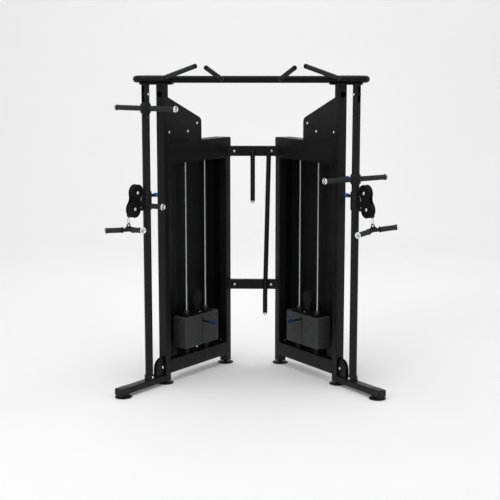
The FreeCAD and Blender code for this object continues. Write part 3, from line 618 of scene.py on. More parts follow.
def barrel(bm, z, slot=0):
    """Pop-pin barrel: a stepped tube with a hex collar."""
    profile = [(0.0330, 0.0061), (0.0330, 0.0130), (0.0480, 0.0130), (0.0490, 0.0122)]
    profile += [(0.0660, 0.0122), (0.0670, 0.0112), (0.0670, 0.0061)]
    lathe(bm, (0, 0, z), (-1, 0, 0), profile, 40, slot=slot)
    lathe(bm, (0, 0, z), (-1, 0, 0), pipe(0.0490, 0.0560, 0.0140, 0.0125), 6, slot=slot)


# ---- fixed frame ----

def dress_frame():
    paint = {
        "frame": (
            "base_beams", "front_upright_left", "front_upright_right", "rear_uprights", "column_left",
            "column_right", "bottom_rails", "top_boxes", "column_sockets",
        ),
        "sheet": ("shrouds",),
        # the pull-up bar and top plates take the darker powder coat, painted shade
        "bar": ("pull_up_bar", "top_plates"),
        "rod": ("guide_rods",),
        "deep": ("rear_crossbars",),
    }
    for key, nodes in paint.items():
        for node in nodes:
            dress(node, key)


def index_dots(side):
    """Painted index dots beside the column's pin holes."""
    bm = bmesh.new()
    radius, first = 0.0289, ZERO_HOLE - 21 * HOLE_PITCH
    out = Vector((0.42, 0.907, 0.0)).normalized()
    for k in range(HOLE_COUNT):
        z = first + k * HOLE_PITCH
        dot = [(-0.001, 0), (-0.001, 0.0026), (0.0002, 0.0022), (0.0002, 0)]
        lathe(bm, out * radius + Vector((0, 0, z)), out, dot, 16)
    keep("index_dots_" + side, bm, "root", ("mark",), side)


def welds(side):
    """Weld beads where the frame's members meet."""
    bm = bmesh.new()
    low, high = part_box("column_sockets")
    ring_bead(bm, (0, 0, high.z), (0, 0, 1), 0.0305, 0.0022, 64, 40)
    ring_bead(bm, (0, 0, low.z + 0.001), (0, 0, 1), 0.0355, 0.0026, 64, 44)
    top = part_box("top_plates")[0].z
    ring_bead(bm, (0, 0, top - 0.0012), (0, 0, 1), 0.0289, 0.0022, 64, 38)
    for t in (-0.0345, 0.0345):
        for z0, z1 in ((0.090, 0.172), (1.668, 1.812)):
            for s in (-0.2168, -0.9185):
                line_bead(bm, (s, t, z0), (s, t, z1), 0.0022)
    for t in (-0.0300, 0.0300):
        line_bead(bm, (UPRIGHT_FRONT, t, 0.0718), (UPRIGHT_FRONT, t * 0.2, 0.0718), 0.0022)
    for s, t in ((-0.1570, 0.0), (-0.2163, 0.0)):
        line_bead(bm, (s, -0.030, top - 0.001), (s, 0.030, top - 0.001), 0.0022)
    keep("weld_beads_" + side, bm, "root", ("frame",), side)


def gusset(side):
    """Two thick plates with rounded corners, rings of dimples round the pulley axles drawn as thin near-black
    discs of painted shade, and a flange.
    """
    bm = bmesh.new()
    s1, foot = UPRIGHT_BACK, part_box("top_boxes")[1].z
    outline = [(s1, foot), (s1, 2.159)] + arc((-0.584, 1.9522), 0.045, 113.3, 180, 10)
    outline += [(-0.629, foot)]
    for t0 in (0.014, -0.018):
        slab(bm, outline, t0, t0 + 0.004, 1)
    for t0 in (0.018, -0.032):
        brick(bm, (s1 - 0.005, t0, foot), (s1, t0 + 0.014, 2.150))
    for end in ("tower_pulley_rear", "tower_pulley_front"):
        centre = spin_centre(side, end)
        for k in range(8):
            angle = math.radians(45 * k + 22.5)
            s = centre.x + 0.029 * math.cos(angle)
            if s > s1 - 0.008:
                continue
            z = centre.z + 0.029 * math.sin(angle)
            for sign in (-1, 1):
                base = (s, sign * 0.0178, z)
                # each dimple is a thin disc in near-black painted shade
                lathe(bm, base, (0, sign, 0), pipe(0, 0.0004, 0.0036), 18, slot=1)
    for t in (0.0325, -0.0325):
        for z in (1.86, 1.99, 2.11):
            button_head(bm, (s1 - 0.005, t * 0.78, z), (-1, 0, 0), 0.0045, 0.0025, 2, 1)
    return keep("gusset_" + side, bm, "root", ("frame", "hole", "deep"), side, bevel=0.0008)


def rail_holes(side):
    """Dark socket screws sunk along the rail's front face, their sockets near-black painted shade."""
    bm = bmesh.new()
    face = 0.0345
    places = (
        (-247, 139), (-400, 138), (-504, 160), (-504, 118),
        (-631, 160), (-631, 119), (-745, 139), (-889, 139),
    )
    for place in places:
        s, z = millimetres(*place)
        for sign in (1, -1):
            base = (s, sign * (face - 0.001), z)
            rim = [(0, 0), (0, 0.0085), (0.0012, 0.0085), (0.0018, 0.0070), (0.0010, 0.0062), (0.0010, 0)]
            lathe(bm, base, (0, sign, 0), rim, 28, slot=0)
            # the socket is a thin near-black hexagon: painted shade
            socket = [(0.0001, 0), (0.0001, 0.0060), (0.0004, 0)]
            lathe(bm, (s, sign * face, z), (0, sign, 0), socket, 6, slot=1)
    keep("rail_screws_" + side, bm, "root", ("deep", "hole"), side)


def frame_bolts():
    """Axle bolts of the fixed pulleys on both towers."""
    for side in SIDES:
        bm = bmesh.new()
        for end in ("tower_pulley_rear", "tower_pulley_front"):
            centre = spin_centre(side, end)
            axle(bm, centre.x, centre.z, 0.018, 0.0095, 0.0065)
        axle(bm, -0.462, 1.891, 0.018, 0.0095, 0.0060)
        base = spin_centre(side, "base_pulley")
        axle(bm, base.x, base.z, 0.0135, 0.0115, 0.0068)
        top = spin_centre(side, "column_pulley")
        axle(bm, top.x, top.z, 0.0304, 0.0100, 0.0075)
        button_head(bm, (0.0, 0.0354, 0.0900), (0, 1, 0), 0.0095, 0.0055)
        button_head(bm, (-0.9185, -0.0270, 0.1880), (1, 0, 0), 0.0055, 0.0030)
        keep("axle_bolts_" + side, bm, "root", ("zinc", "hole"), side)
    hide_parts("frame_bolts")


def crossbar_bolts():
    """Bright screws on washers at each end of the two rear crossbars."""
    bm = bmesh.new()
    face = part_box("rear_crossbars")[0].y + 0.037
    for z in (1.7115, 0.648):
        for x in (-0.146, 0.146):
            lathe(bm, (x, face - 0.005, z), (0, -1, 0), pipe(0, 0.0008, 0.0098), 36)
            button_head(bm, (x, face - 0.0056, z), (0, -1, 0), 0.0092, 0.0050)
    keep("crossbar_screws", bm, "root", ("zinc", "hole"))


def feet(side):
    """Levelling feet: a ribbed disc, a lock nut and a threaded stud."""
    bm = bmesh.new()
    for s, top in ((0.290, 0.0205), (-0.187, 0.023), (-0.948, 0.023)):
        profile = [(0.0, 0.0), (0.0, 0.0595), (0.0015, 0.0618), (0.0045, 0.0620), (0.0060, 0.0610)]
        profile += [(0.0072, 0.0560), (0.0068, 0.0530), (0.0082, 0.0500), (0.0086, 0.0220), (0.0100, 0.0190)]
        profile += [(0.0100, 0.0)]
        lathe(bm, (s, 0, 0), (0, 0, 1), profile, 80)
        nut = [(0, 0), (0, 0.0150), (0.0060, 0.0150), (0.0065, 0.0138), (0.0065, 0)]
        lathe(bm, (s, 0, 0.0100), (0, 0, 1), nut, 6, slot=1)
        stud = [(0.0, 0.0)]
        z = 0.0
        while z < top - 0.0165 - 0.002:
            stud += [(z, 0.0078), (z + 0.0010, 0.0086)]
            z += 0.0020
        stud += [(top - 0.0165, 0.0078), (top - 0.0165, 0.0)]
        lathe(bm, (s, 0, 0.0165), (0, 0, 1), stud, 32, slot=1)
    return keep("levelling_feet_" + side, bm, "root", ("foot", "deep"), side)


def end_shoe(side):
    """Moulded shoe round the beam's end, with a raised panel on its face, and the pad below."""
    bm = bmesh.new()
    back, front, half = 0.257, 0.3467, 0.0365
    low, high = 0.0205, 0.0738
    wrap = rounded((-half, low), (half, high), 0.0090, 6)
    slab(bm, wrap, back, front - 0.005, 0)
    nose = rounded((-half + 0.003, low + 0.003), (half - 0.003, high - 0.003), 0.0080, 6)
    slab(bm, nose, front - 0.005, front - 0.0015, 0)
    panel = rounded((-half + 0.010, low + 0.009), (half - 0.010, high - 0.009), 0.0060, 6)
    slab(bm, panel, front - 0.0018, front - 0.0004, 0)
    shell = rounded((-half - 0.0006, low - 0.0006), (half + 0.0006, high + 0.0006), 0.0095, 6)
    slab(bm, shell, back, back + 0.004, 0)
    pad = rounded((back + 0.003, -0.031), (front - 0.004, 0.031), 0.008, 5)
    slab(bm, pad, 0.011, 0.0200, 2, slot=1)
    for k in range(7):
        s = back + 0.014 + 0.0115 * k
        brick(bm, (s, -0.030, 0.0102), (s + 0.005, 0.030, 0.0112), 1)
    return keep("beam_shoe_" + side, bm, "root", ("shoe", "foot"), side, bevel=0.0012)


def base_housing(side):
    """Round-topped cheeks of the base pulley with a spacer rim between them."""
    bm = bmesh.new()
    centre = spin_centre(side, "base_pulley")
    start = math.degrees(math.acos((UPRIGHT_FRONT - centre.x) / 0.075))
    outline = [(UPRIGHT_FRONT, 0.0714), (-0.069, 0.0714)]
    outline += arc((centre.x, centre.z), 0.075, 0, start, 24)
    for t0 in (0.0095, -0.0135):
        slab(bm, outline, t0, t0 + 0.004, 1)
    for angle in (12, 78):
        a = math.radians(angle)
        s, z = centre.x + 0.068 * math.cos(a), centre.z + 0.068 * math.sin(a)
        lathe(bm, (s, -0.0095, z), (0, 1, 0), pipe(0, 0.019, 0.004), 20)
        button_head(bm, (s, 0.0135, z), (0, 1, 0), 0.0045, 0.0024, 0, 1)
    ring = [(0.0, 0.020), (0.0, 0.024), (0.0008, 0.0236), (0.0008, 0.0204)]
    lathe(bm, (centre.x, 0.0135, centre.z), (0, 1, 0), ring, 48)
    return keep("base_cheeks_" + side, bm, "root", ("frame", "hole"), side, bevel=0.0008)


def bumpers(side):
    """Ribbed rubber sleeves round the feet of the guide rods."""
    bm = bmesh.new()
    for s in (-0.4489, -0.6851):
        profile = [(0.0, 0.0081), (0.0, 0.0220), (0.003, 0.0225)]
        for k in range(5):
            a = 0.022 + 0.026 * k
            profile += [(a, 0.0225), (a + 0.004, 0.0208), (a + 0.008, 0.0225)]
        profile += [(0.1520, 0.0225), (0.1553, 0.0200), (0.1553, 0.0081)]
        lathe(bm, (s, 0, 0.0787), (0, 0, 1), profile, 48)
    return keep("bumpers_" + side, bm, "root", ("foot",), side)


# ---- weight stack ----

STACK_S = -0.567
PLATE_PITCH = 0.015
STACK_FOOT = 0.234
ROD_OFFSET = 0.1181


def plate_outline(inset):
    """The plate seen from above: rounded corners and a shallow notch down the middle of its front."""
    half, side, notch, corner = 0.206 - inset, 0.065 - inset, 0.004, 0.010
    outline = [(STACK_S + 0.014, side), (STACK_S + 0.009, side - notch), (STACK_S - 0.009, side - notch)]
    outline += [(STACK_S - 0.014, side)]
    outline += arc((STACK_S - half + corner, side - corner), corner, 90, 180, 5)
    outline += arc((STACK_S - half + corner, -side + corner), corner, 180, 270, 5)
    outline += arc((STACK_S + half - corner, -side + corner), corner, 270, 360, 5)
    outline += arc((STACK_S + half - corner, side - corner), corner, 0, 90, 5)
    return outline


def weight_plate(bm, z):
    """One plate with its pin hole, on the thin recessed pad that keeps it off the one below; pad and pin hole
    are near-black painted shade.
    """
    pad = 0.0036
    # the recessed pad is near-black painted shade in the gap between plates
    slab(bm, plate_outline(0.0040), z + 0.0001, z + pad, 2, 1)
    slab(bm, plate_outline(0.0), z + pad, z + PLATE_PITCH - 0.0002, 2, 0)
    middle = z + (PLATE_PITCH + pad) / 2
    # the pin hole is a thin near-black disc on the front: painted shade
    lathe(bm, (STACK_S, 0.061, middle), (0, 1, 0), pipe(0, 0.0004, 0.0042), 24, slot=1)


def plates(side, low, high, body, name, node):
    """The plates of some levels of the stack, as one piece on one body."""
    bm = bmesh.new()
    for level in range(low, high):
        weight_plate(bm, STACK_FOOT + level * PLATE_PITCH)
    replaced = (node,) if node else ()
    return keep(name, bm, body, ("plates", "hole"), side, replaced, bevel=0.0011)


def head(side):
    """Black head plate with split bushes, the bright selector stem and its top screw."""
    bm = bmesh.new()
    z0 = STACK_FOOT + PLATE_COUNT * PLATE_PITCH
    outline = rounded((STACK_S - 0.165, -0.050), (STACK_S + 0.165, 0.050), 0.012, 6)
    slab(bm, outline, z0, z0 + 0.016, 2)
    for s in (STACK_S - ROD_OFFSET, STACK_S + ROD_OFFSET):
        profile = [(0.0, 0.00805), (0.0, 0.0200), (0.0225, 0.0200), (0.0250, 0.0175), (0.0250, 0.00805)]
        lathe(bm, (s, 0, z0 + 0.016), (0, 0, 1), profile, 48, slot=1)
        # a thin near-black ring round each bush: painted shade in its split line
        ring_bead(bm, (s, 0, z0 + 0.024), (0, 0, 1), 0.0200, 0.0008, 48, slot=3)
    foot = 0.200 if side == "left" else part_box("head_plate_" + side)[0].z
    tip = [(foot, 0.0), (foot, 0.008), (foot + 0.003, 0.0115), (foot + 0.006, 0.0125)]
    tip += [(z0, 0.0125), (z0, 0.0)]
    lathe(bm, (STACK_S, 0, 0), (0, 0, 1), tip, 40, slot=2)
    button_head(bm, (STACK_S - 0.006, 0.030, z0 + 0.0160), (0, 0, 1), 0.0060, 0.0034, 2, 3)
    body, node, keys = "stack_" + side, "head_plate_" + side, ("deep", "collar", "chrome", "hole")
    keep("stack_head_" + side, bm, body, keys, side, (node,), 0.0007)


def stack_cheeks(side):
    """Keyhole-shaped cheeks of the stack pulley, cross bolt and foot block."""
    bm = bmesh.new()
    centre = spin_centre(side, "stack_pulley")
    s, z, foot = centre.x, centre.z, STACK_FOOT + PLATE_COUNT * PLATE_PITCH + 0.016
    outline = [(s - 0.024, foot), (s + 0.024, foot), (s + 0.034, 0.553)]
    outline += arc((s, z), 0.058, -42, 222, 40)
    outline += [(s - 0.034, 0.553)]
    for t0 in (0.0095, -0.0125):
        slab(bm, outline, t0, t0 + 0.003, 1)
    brick(bm, (s - 0.024, -0.0094, foot), (s + 0.024, 0.0094, foot + 0.030))
    axle(bm, s, z, 0.0125, 0.0088, 0.0050, 1, 2)
    for shift in (-0.012, 0.012):
        button_head(bm, (s + shift, 0.0125, foot + 0.015), (0, 1, 0), 0.0050, 0.0028, 1, 2)
    body, node = "stack_" + side, "stack_bracket_" + side
    keep("stack_cheeks_" + side, bm, body, ("frame", "deep", "hole"), side, (node,), 0.0007)


def selector(side):
    """Weight pin: bright steel tip, black sleeve and a ribbed blue handle, its blue darkened as painted
    shade.
    """
    bm = bmesh.new()
    low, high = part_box("selector_pin_" + side)
    base = (STACK_S, 0, (low.z + high.z) / 2)
    point = [(0.002, 0), (0.002, 0.003), (0.004, 0.0045), (0.067, 0.0045), (0.067, 0)]
    lathe(bm, base, (0, 1, 0), point, 24, slot=2)
    sleeve = [(0.066, 0.0), (0.066, 0.0070), (0.068, 0.0080), (0.146, 0.0080), (0.148, 0.0070), (0.148, 0.0)]
    lathe(bm, base, (0, 1, 0), sleeve, 32, slot=1)
    profile = [(0.147, 0.0), (0.147, 0.0110), (0.150, 0.0132)]
    for k in range(5):
        a = 0.156 + 0.0065 * k
        profile += [(a - 0.0022, 0.0146), (a, 0.0136), (a + 0.0022, 0.0146)]
    profile += [(0.190, 0.0150), (0.1945, 0.0128), (0.197, 0.0080), (0.197, 0.0)]
    # the handle is slot 0: the blue darkened as painted shade
    lathe(bm, base, (0, 1, 0), profile, 48, lobes=8, depth=0.02)
    body, node = "selector_pin_" + side, "selector_pin_" + side
    keep("weight_pin_" + side, bm, body, ("blue_painted_shade", "nylon", "chrome", "blue"), side, (node,))


# ---- pulleys ----

def pulley(side, node, radius, half):
    """One sheave on the axle that its joint turns about."""
    bm = bmesh.new()
    centre = spin_centre(side, node)
    sheave(bm, centre.x, centre.z, radius, half)
    name = node + "_" + side
    keep("sheave_" + name, bm, name, ("nylon", "zinc"), side, (name,))


# ---- carriage ----

def carriage(side):
    """Sleeve with rolled ends, hinge lugs and pin, pop-pin barrel, and the short handle."""
    bm = bmesh.new()
    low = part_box("carriage_" + side)[0].z
    z0, z1 = low + 0.004, low + 0.139
    inner = COLUMN_BORE
    profile = [(z0, inner), (z0, 0.0325), (z0 + 0.0035, 0.0352), (z0 + 0.010, 0.0360)]
    profile += [(z0 + 0.045, 0.0360), (z0 + 0.0465, 0.0352), (z0 + 0.048, 0.0360)]
    profile += [(z1 - 0.034, 0.0360), (z1 - 0.0325, 0.0352), (z1 - 0.031, 0.0360)]
    profile += [(z1 - 0.010, 0.0360), (z1 - 0.0035, 0.0352), (z1, 0.0325), (z1, inner)]
    lathe(bm, (0, 0, 0), (0, 0, 1), profile, 72)
    bush = [(z1 - 0.002, inner + 0.00005), (z1 - 0.002, 0.0322), (z1, 0.0322), (z1, inner + 0.00005)]
    lathe(bm, (0, 0, 0), (0, 0, 1), bush, 48, slot=3)
    hinge = local(side, JOINTS["housing_swivel_" + side]["pos_m"]).x
    for bottom, top in ((z0, z0 + 0.018), (z0 + 0.087, z0 + 0.105)):
        outline = [(0.0335, -0.0118)] + arc((hinge, 0.0), 0.0118, -90, 90, 14) + [(0.0335, 0.0118)]
        slab(bm, outline, bottom, top, 2)
        lathe(bm, (hinge, 0, top if bottom > z0 else bottom), (0, 0, 1 if bottom > z0 else -1),
              [(0, 0), (0, 0.0095), (0.0015, 0.0095), (0.0035, 0.0062), (0.0035, 0)], 28, slot=2)
    pin_z = local(side, (0, 0, z0 + 0.099)).z
    barrel(bm, pin_z)
    reach = 1 if side == "left" else -1
    handle_z = pin_z - 0.0695
    lathe(bm, (0, 0, handle_z), (0, reach, 0), pipe(0.0335, 0.147, TUBE_RADIUS), 32)
    ring_bead(bm, (0, reach * 0.0362, handle_z), (0, 1, 0), 0.0150, 0.0022, 40, 26)
    lathe(bm, (0, 0, handle_z), (0, reach, 0), grip_profile(0.0385, 0.1468, GRIP_RADIUS, 0.0141), 56, slot=1)
    end_cap(bm, (0, 0, handle_z), (0, reach, 0), 0.147, 0.158, CAP_RADIUS, 2, 4)
    for z in (z0 + 0.030, z0 + 0.058):
        button_head(bm, (0.0255, 0.0250, z), (0.70, 0.71, 0), 0.0050, 0.0028, 3, 3)
    name = "carriage_" + side
    keys = ("frame", "grip", "chrome", "deep", "hole")
    keep("slider_" + side, bm, name, keys, side, (name,), 0.0006, 40.0)


def eight_outline(upper, lower, radius, blend, cut_s, cut_top):
    """A figure of eight with a blended waist in front and a straight tongue at the hinge."""
    (s1, z1), (s2, z2) = upper, lower
    run = math.hypot(s2 - s1, z2 - z1)
    out = Vector((z1 - z2, s2 - s1)) / run
    reach = math.sqrt((radius + blend) ** 2 - (run / 2) ** 2)
    waist = Vector(((s1 + s2) / 2, (z1 + z2) / 2)) + out * reach

    def angle_to(a, b):
        return math.degrees(math.atan2(b[1] - a[1], b[0] - a[0]))

    start = angle_to(lower, waist)
    left = math.degrees(math.acos(max(-1.0, (cut_s + 0.008 - s2) / radius)))
    points = arc(lower, radius, -left, start, 40)
    first, last = angle_to(waist, lower), angle_to(waist, upper)
    if last < first:
        last += 360
    points += arc(waist, blend, first + 360 if first < 0 else first, last, 12)[1:-1]
    low_angle = angle_to(upper, waist)
    cut_angle = 360 - math.degrees(math.acos((0.0614 - s1) / radius))
    points += arc(upper, radius, low_angle, cut_angle if cut_angle > low_angle else cut_angle + 360, 44)
    points += [(cut_s, cut_top), (cut_s, z2)]
    return points


def housing(side):
    """Figure-of-eight cheeks with rims, hinge barrel, web, spacers and big axle bolts."""
    bm = bmesh.new()
    upper = spin_centre(side, "swivel_pulley_upper")
    lower = spin_centre(side, "swivel_pulley_lower")
    top, bottom = (upper.x, upper.z), (lower.x, lower.z)
    outline = eight_outline(top, bottom, 0.062, 0.060, 0.079, 1.4540)
    for t0 in (0.014, -0.018):
        slab(bm, outline, t0, t0 + 0.004, 1)
    hinge = local(side, JOINTS["housing_swivel_" + side]["pos_m"]).x
    z0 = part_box("carriage_" + side)[0].z + 0.004
    low, high = z0 + 0.0184, z0 + 0.0866
    lathe(bm, (hinge, 0, 0), (0, 0, 1), pipe(low, high, 0.0135, 0.00605), 40)
    brick(bm, (hinge + 0.012, -0.0139, z0 + 0.022), (0.090, 0.0139, z0 + 0.074))
    for s, z in (top, bottom):
        axle(bm, s, z, 0.018, 0.0125, 0.0068, 1, 2)
        rim = [(0.0, 0.0165), (0.0, 0.0205), (0.0007, 0.0200), (0.0007, 0.0170)]
        lathe(bm, (s, 0.018, z), (0, 1, 0), rim, 48)
    for place in ((83, 1437), (86, 1423), (86, 1371)):
        s, z = millimetres(*place)
        for sign in (-1, 1):
            button_head(bm, (s, sign * 0.018, z), (0, sign, 0), 0.0038, 0.0022, 1, 2)
    middle = ((top[0] + bottom[0]) / 2 + 0.037, (top[1] + bottom[1]) / 2 + 0.010)
    lathe(bm, (middle[0], -0.014, middle[1]), (0, 1, 0), pipe(0, 0.028, 0.0038), 20, slot=3)
    name = "pulley_housing_" + side
    keys = ("deep", "zinc", "hole", "frame")
    keep("swivel_cheeks_" + side, bm, name, keys, side, (name,), 0.0008)


def carabiner(side):
    """Snap link with a round-wire loop, a hinged gate, and the rubber stop ball above it."""
    bm = bmesh.new()
    s, wire, half, top, bottom = 0.205, 0.0035, 0.0105, 1.299, 1.271
    path = arc((s, top), half, 0, 180, 14) + arc((s, bottom), half, 180, 360, 14)
    rings = []
    count = len(path)
    for k, (x, z) in enumerate(path):
        before, after = path[k - 1], path[(k + 1) % count]
        axis = Vector((after[0] - before[0], 0, after[1] - before[1])).normalized()
        normal = axis.cross(Vector((0, 1, 0)))
        rings.append(ring_of(bm, Vector((x, 0, z)), normal, Vector((0, 1, 0)), wire, 14))
    skin(bm, rings + rings[:1])
    gate = [(0.0, 0.0034), (0.0, 0.0042), (0.002, 0.0046), (0.014, 0.0046), (0.016, 0.0042), (0.016, 0.0034)]
    lathe(bm, (s + half, 0, 1.277), (0, 0, 1), gate, 24)
    lathe(bm, (s + half, -0.0044, 1.2955), (0, 1, 0), pipe(0, 0.0088, 0.0016), 14)
    ferrule = [(0, 0), (0, 0.0058), (0.0008, 0.0065), (0.0030, 0.0065), (0.0030, 0)]
    lathe(bm, (s, 0, 1.3132), (0, 0, 1), ferrule, 28, slot=1)
    ball = [(-0.0082, 0.0), (-0.0082, 0.0073)]
    ball += ball_profile(0.011, 50, 180, 10)
    ball += [(0.011, 0.0)]
    lathe(bm, (s + 0.002, 0, 1.324), (0, 0, 1), ball, 36, slot=1)
    name = "carabiner_" + side
    keep("snap_link_" + side, bm, name, ("chrome", "foot"), side, (name,))


def pull_handle(side):
    """Swept handle: steel core with flange rings, rubber grips, bright caps and an eye plate."""
    bm = bmesh.new()
    s, z, half, sweep = 0.205, 1.221, 0.190, math.radians(15.6)
    eye_z, wire_z, eye_hole = 1.2558, 1.2605, 0.0093
    base = Vector((s, 0, z))
    for sign in (-1, 1):
        axis = Vector((math.sin(sweep), sign * math.cos(sweep), 0))
        lathe(bm, base, axis, pipe(0, half - 0.011, TUBE_RADIUS), 40)
        flange = [(0.050, 0.0135), (0.050, 0.0208), (0.0512, 0.0220), (0.0548, 0.0220)]
        flange += [(0.056, 0.0208), (0.056, 0.0135)]
        lathe(bm, base, axis, flange, 48)
        lathe(bm, base, axis, grip_profile(0.0562, half - 0.0112, GRIP_RADIUS, 0.0139), 56, slot=1)
        end_cap(bm, base, axis, half - 0.011, half, CAP_RADIUS, 2, 3)
    inner = arc((0.0, eye_z), eye_hole, 90, -270, 36)
    right = arc((0.0, eye_z), 0.0150, 90, -18, 18)
    left = [(-t, w) for t, w in reversed(right)]
    outer = right + [(0.0195, 1.247), (0.0460, z + 0.004), (0.0430, z)]
    outer += [(-0.0430, z), (-0.0460, z + 0.004), (-0.0195, 1.247)] + left[:-1]
    pierced(bm, outer, inner[:-1], (s - 0.003, s + 0.003), lambda p, level: (level, p[0], p[1]))
    ball = ball_profile(0.014, 0, 181, 12)
    ball[0], ball[-1] = (-0.014, 0.0), (0.014, 0.0)
    lathe(bm, base, (0, 0, 1), ball, 32)
    tilt = math.radians(5.2 if side == "left" else -5.0)
    pivot = Matrix.Translation((s, 0, wire_z))
    bm.transform(pivot @ Matrix.Rotation(tilt, 4, "X") @ pivot.inverted())
    name = "pull_handle_" + side
    keys = ("frame", "grip", "chrome", "hole")
    keep("hand_grip_" + side, bm, name, keys, side, (name,), 0.0006, 40.0)


def t_bar(side):
    """Sliding collar, cross bar with rubber grips and bright caps, and the pop-pin barrel."""
    bm = bmesh.new()
    low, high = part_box("t_bar_" + side)
    z = (low.z + high.z) / 2
    inner = COLUMN_BORE
    profile = [(-0.038, inner), (-0.038, 0.0320), (-0.0368, 0.0335), (-0.0270, 0.0383), (-0.0235, 0.0390)]
    mirrored = [(-a, r) for a, r in reversed(profile)]
    lathe(bm, (0, 0, z), (0, 0, 1), profile + mirrored, 72)
    for sign in (-1, 1):
        lathe(bm, (0, 0, z), (0, sign, 0), pipe(0.0365, 0.274, TUBE_RADIUS), 40)
        ring_bead(bm, (0, sign * 0.0385, z), (0, 1, 0), 0.0150, 0.0024, 44, 28)
        lathe(bm, (0, 0, z), (0, sign, 0), grip_profile(0.0412, 0.2738, GRIP_RADIUS, 0.0141), 56, slot=1)
        end_cap(bm, (0, 0, z), (0, sign, 0), 0.274, 0.285, CAP_RADIUS, 2, 4)
        bush = pipe(0, 0.0018, 0.0316, inner + 0.0001)
        lathe(bm, (0, 0, z + sign * 0.0362), (0, 0, sign), bush, 56, slot=3)
    barrel(bm, z)
    name = "t_bar_" + side
    keys = ("frame", "grip", "chrome", "deep", "hole")
    keep("cross_bar_" + side, bm, name, keys, side, (name,), 0.0, 40.0)


# ---- pull-up bar's grips and the loose bars ----

PULL_UP_GRIPS = (
    ((-638, -12, 2290), (-380, -200, 2384)),
    ((-204, -12, 2284), (-313, -200, 2373)),
)


def pull_up_grips():
    """Four slanted tubes with rubber sleeves, weld beads at their roots and plugs at their ends."""
    bm = bmesh.new()
    columns_y = centre_of("column_left").y
    for root, end in PULL_UP_GRIPS:
        for mirror in (1, -1):
            start = Vector(millimetres(*root))
            stop = Vector(millimetres(*end))
            start.x *= mirror
            stop.x *= mirror
            start.y += columns_y
            stop.y += columns_y
            axis = (stop - start).normalized()
            length = (stop - start).length
            lathe(bm, start, axis, pipe(0.012, length - 0.004, TUBE_RADIUS), 40)
            sleeve = grip_profile(0.050, length - 0.0045, 0.0170, 0.0139)
            lathe(bm, start, axis, sleeve, 52, slot=1)
            collar = [(0.012, 0.0138), (0.012, 0.0165), (0.046, 0.0165), (0.050, 0.0155), (0.050, 0.0138)]
            lathe(bm, start, axis, collar, 44)
            plug = [(-0.0045, 0), (-0.0045, 0.0160), (-0.0020, 0.0164), (-0.0004, 0.0145)]
            plug += [(-0.0004, 0.0080), (-0.0016, 0.0070), (-0.0016, 0)]
            plug = [(length + along, radius) for along, radius in plug]
            # the end plugs take the near-black recess material: painted shade in their dished ends
            lathe(bm, start, axis, plug, 40, slot=2)
            ring_bead(bm, start + axis * 0.0165, axis, 0.0175, 0.0030, 44, 26, slot=3)
    keys = ("frame", "grip", "hole", "collar")
    keep("slanted_grips", bm, "root", keys, None, ("pull_up_grips",), 0.0, 40.0)


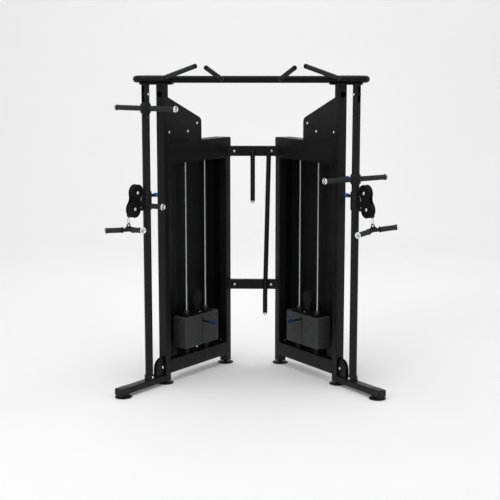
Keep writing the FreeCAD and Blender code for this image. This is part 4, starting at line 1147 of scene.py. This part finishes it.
def loose_bar(node, name, kink=None):
    """A hanging bar: eye plate, steel bar with a knurled sleeve and a turned end cap."""
    bm = bmesh.new()
    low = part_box(node)[0]
    joint = Vector(JOINTS[node + "_swing"]["pos_m"])
    x, y = joint.x, joint.y
    eye_z = joint.z - 0.0024
    top = joint.z - 0.040
    foot = low.z + 0.022
    bend = Vector(kink) if kink else Vector((x, y, foot))
    start = Vector((x, y, top))
    axis = (bend - start).normalized()
    run = (bend - start).length
    profile = [(-0.0185, 0.0), (-0.0160, 0.0092), (-0.009, 0.0160), (0.0, 0.0184)]
    if kink:
        profile += [(run, 0.0184), (run, 0.0)]
    else:
        profile += grip_profile(0.012, run - 0.002, 0.0185, 0.0165)[1:-1]
        profile += [(run - 0.001, 0.0150), (run, 0.0150), (run, 0.0)]
    lathe(bm, start, axis, profile, 56)
    if kink:
        for a in (0.10, run - 0.36):
            lathe(bm, start, axis, grip_profile(a, a + 0.26, 0.01850, 0.0180), 56)
        ball = ball_profile(0.0184, 0, 181, 12)
        ball[0], ball[-1] = (-0.0184, 0.0), (0.0184, 0.0)
        lathe(bm, bend, (0, 0, 1), ball, 40)
        lathe(bm, bend, (0, 0, -1), pipe(0, bend.z - foot, 0.0184), 56)
    cap = [(0.0, 0.0), (0.0, 0.0178), (0.0012, 0.0184), (0.0075, 0.0184), (0.0085, 0.0176)]
    cap += [(0.0185, 0.0098), (0.0215, 0.0060), (0.0218, 0.0)]
    lathe(bm, (bend.x, y, foot), (0, 0, -1), cap, 48, slot=1)
    outer = arc((x, eye_z), 0.0158, -30, 210, 30)
    outer += [(x - 0.0118, joint.z - 0.032), (x + 0.0118, joint.z - 0.032)]
    inner = arc((x, eye_z), 0.0088, 0, 360, 30)[:-1]
    pierced(bm, outer, inner, (y - 0.0029, y + 0.0029), lambda p, level: (p[0], level, p[1]))
    keep(name, bm, node, ("frame", "zinc"), None, (node,), 0.0, 40.0)


# ---- everything ----

make_camera()
make_studio()
dress_frame()
gussets = [gusset(side) for side in SIDES]
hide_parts("gusset_plates")
shoes = [end_shoe(side) for side in SIDES]
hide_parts("end_shoes")
all_feet = [feet(side) for side in SIDES]
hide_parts("feet")
cheeks = [base_housing(side) for side in SIDES]
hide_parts("base_pulley_housings")
stops = [bumpers(side) for side in SIDES]
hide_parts("stack_bumpers")
frame_bolts()
crossbar_bolts()
pull_up_grips()
for side in SIDES:
    index_dots(side)
    welds(side)
    rail_holes(side)
    lifted = round((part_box("lifted_plates_" + side)[0].z - STACK_FOOT) / PLATE_PITCH)
    plates(side, 0, lifted, "root", "lower_plates_" + side, None)
    plates(side, lifted, PLATE_COUNT, "stack_" + side, "upper_plates_" + side, "lifted_plates_" + side)
    head(side)
    stack_cheeks(side)
    selector(side)
    for pulley_node, pulley_radius, pulley_half in PULLEYS:
        pulley(side, pulley_node, pulley_radius, pulley_half)
    dress("column_pulley_" + side, "nylon")
    carriage(side)
    pop_pin(side, "slider_knob", "carriage_pin")
    pop_pin(side, "bar_knob", "t_bar_pin")
    housing(side)
    carabiner(side)
    pull_handle(side)
    t_bar(side)
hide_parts("resting_plates")
loose_bar("short_bar", "short_pull_bar")
bar_y = JOINTS["lat_bar_swing"]["pos_m"][1]
loose_bar("lat_bar", "long_lat_bar", (0.0982, bar_y, 0.560))
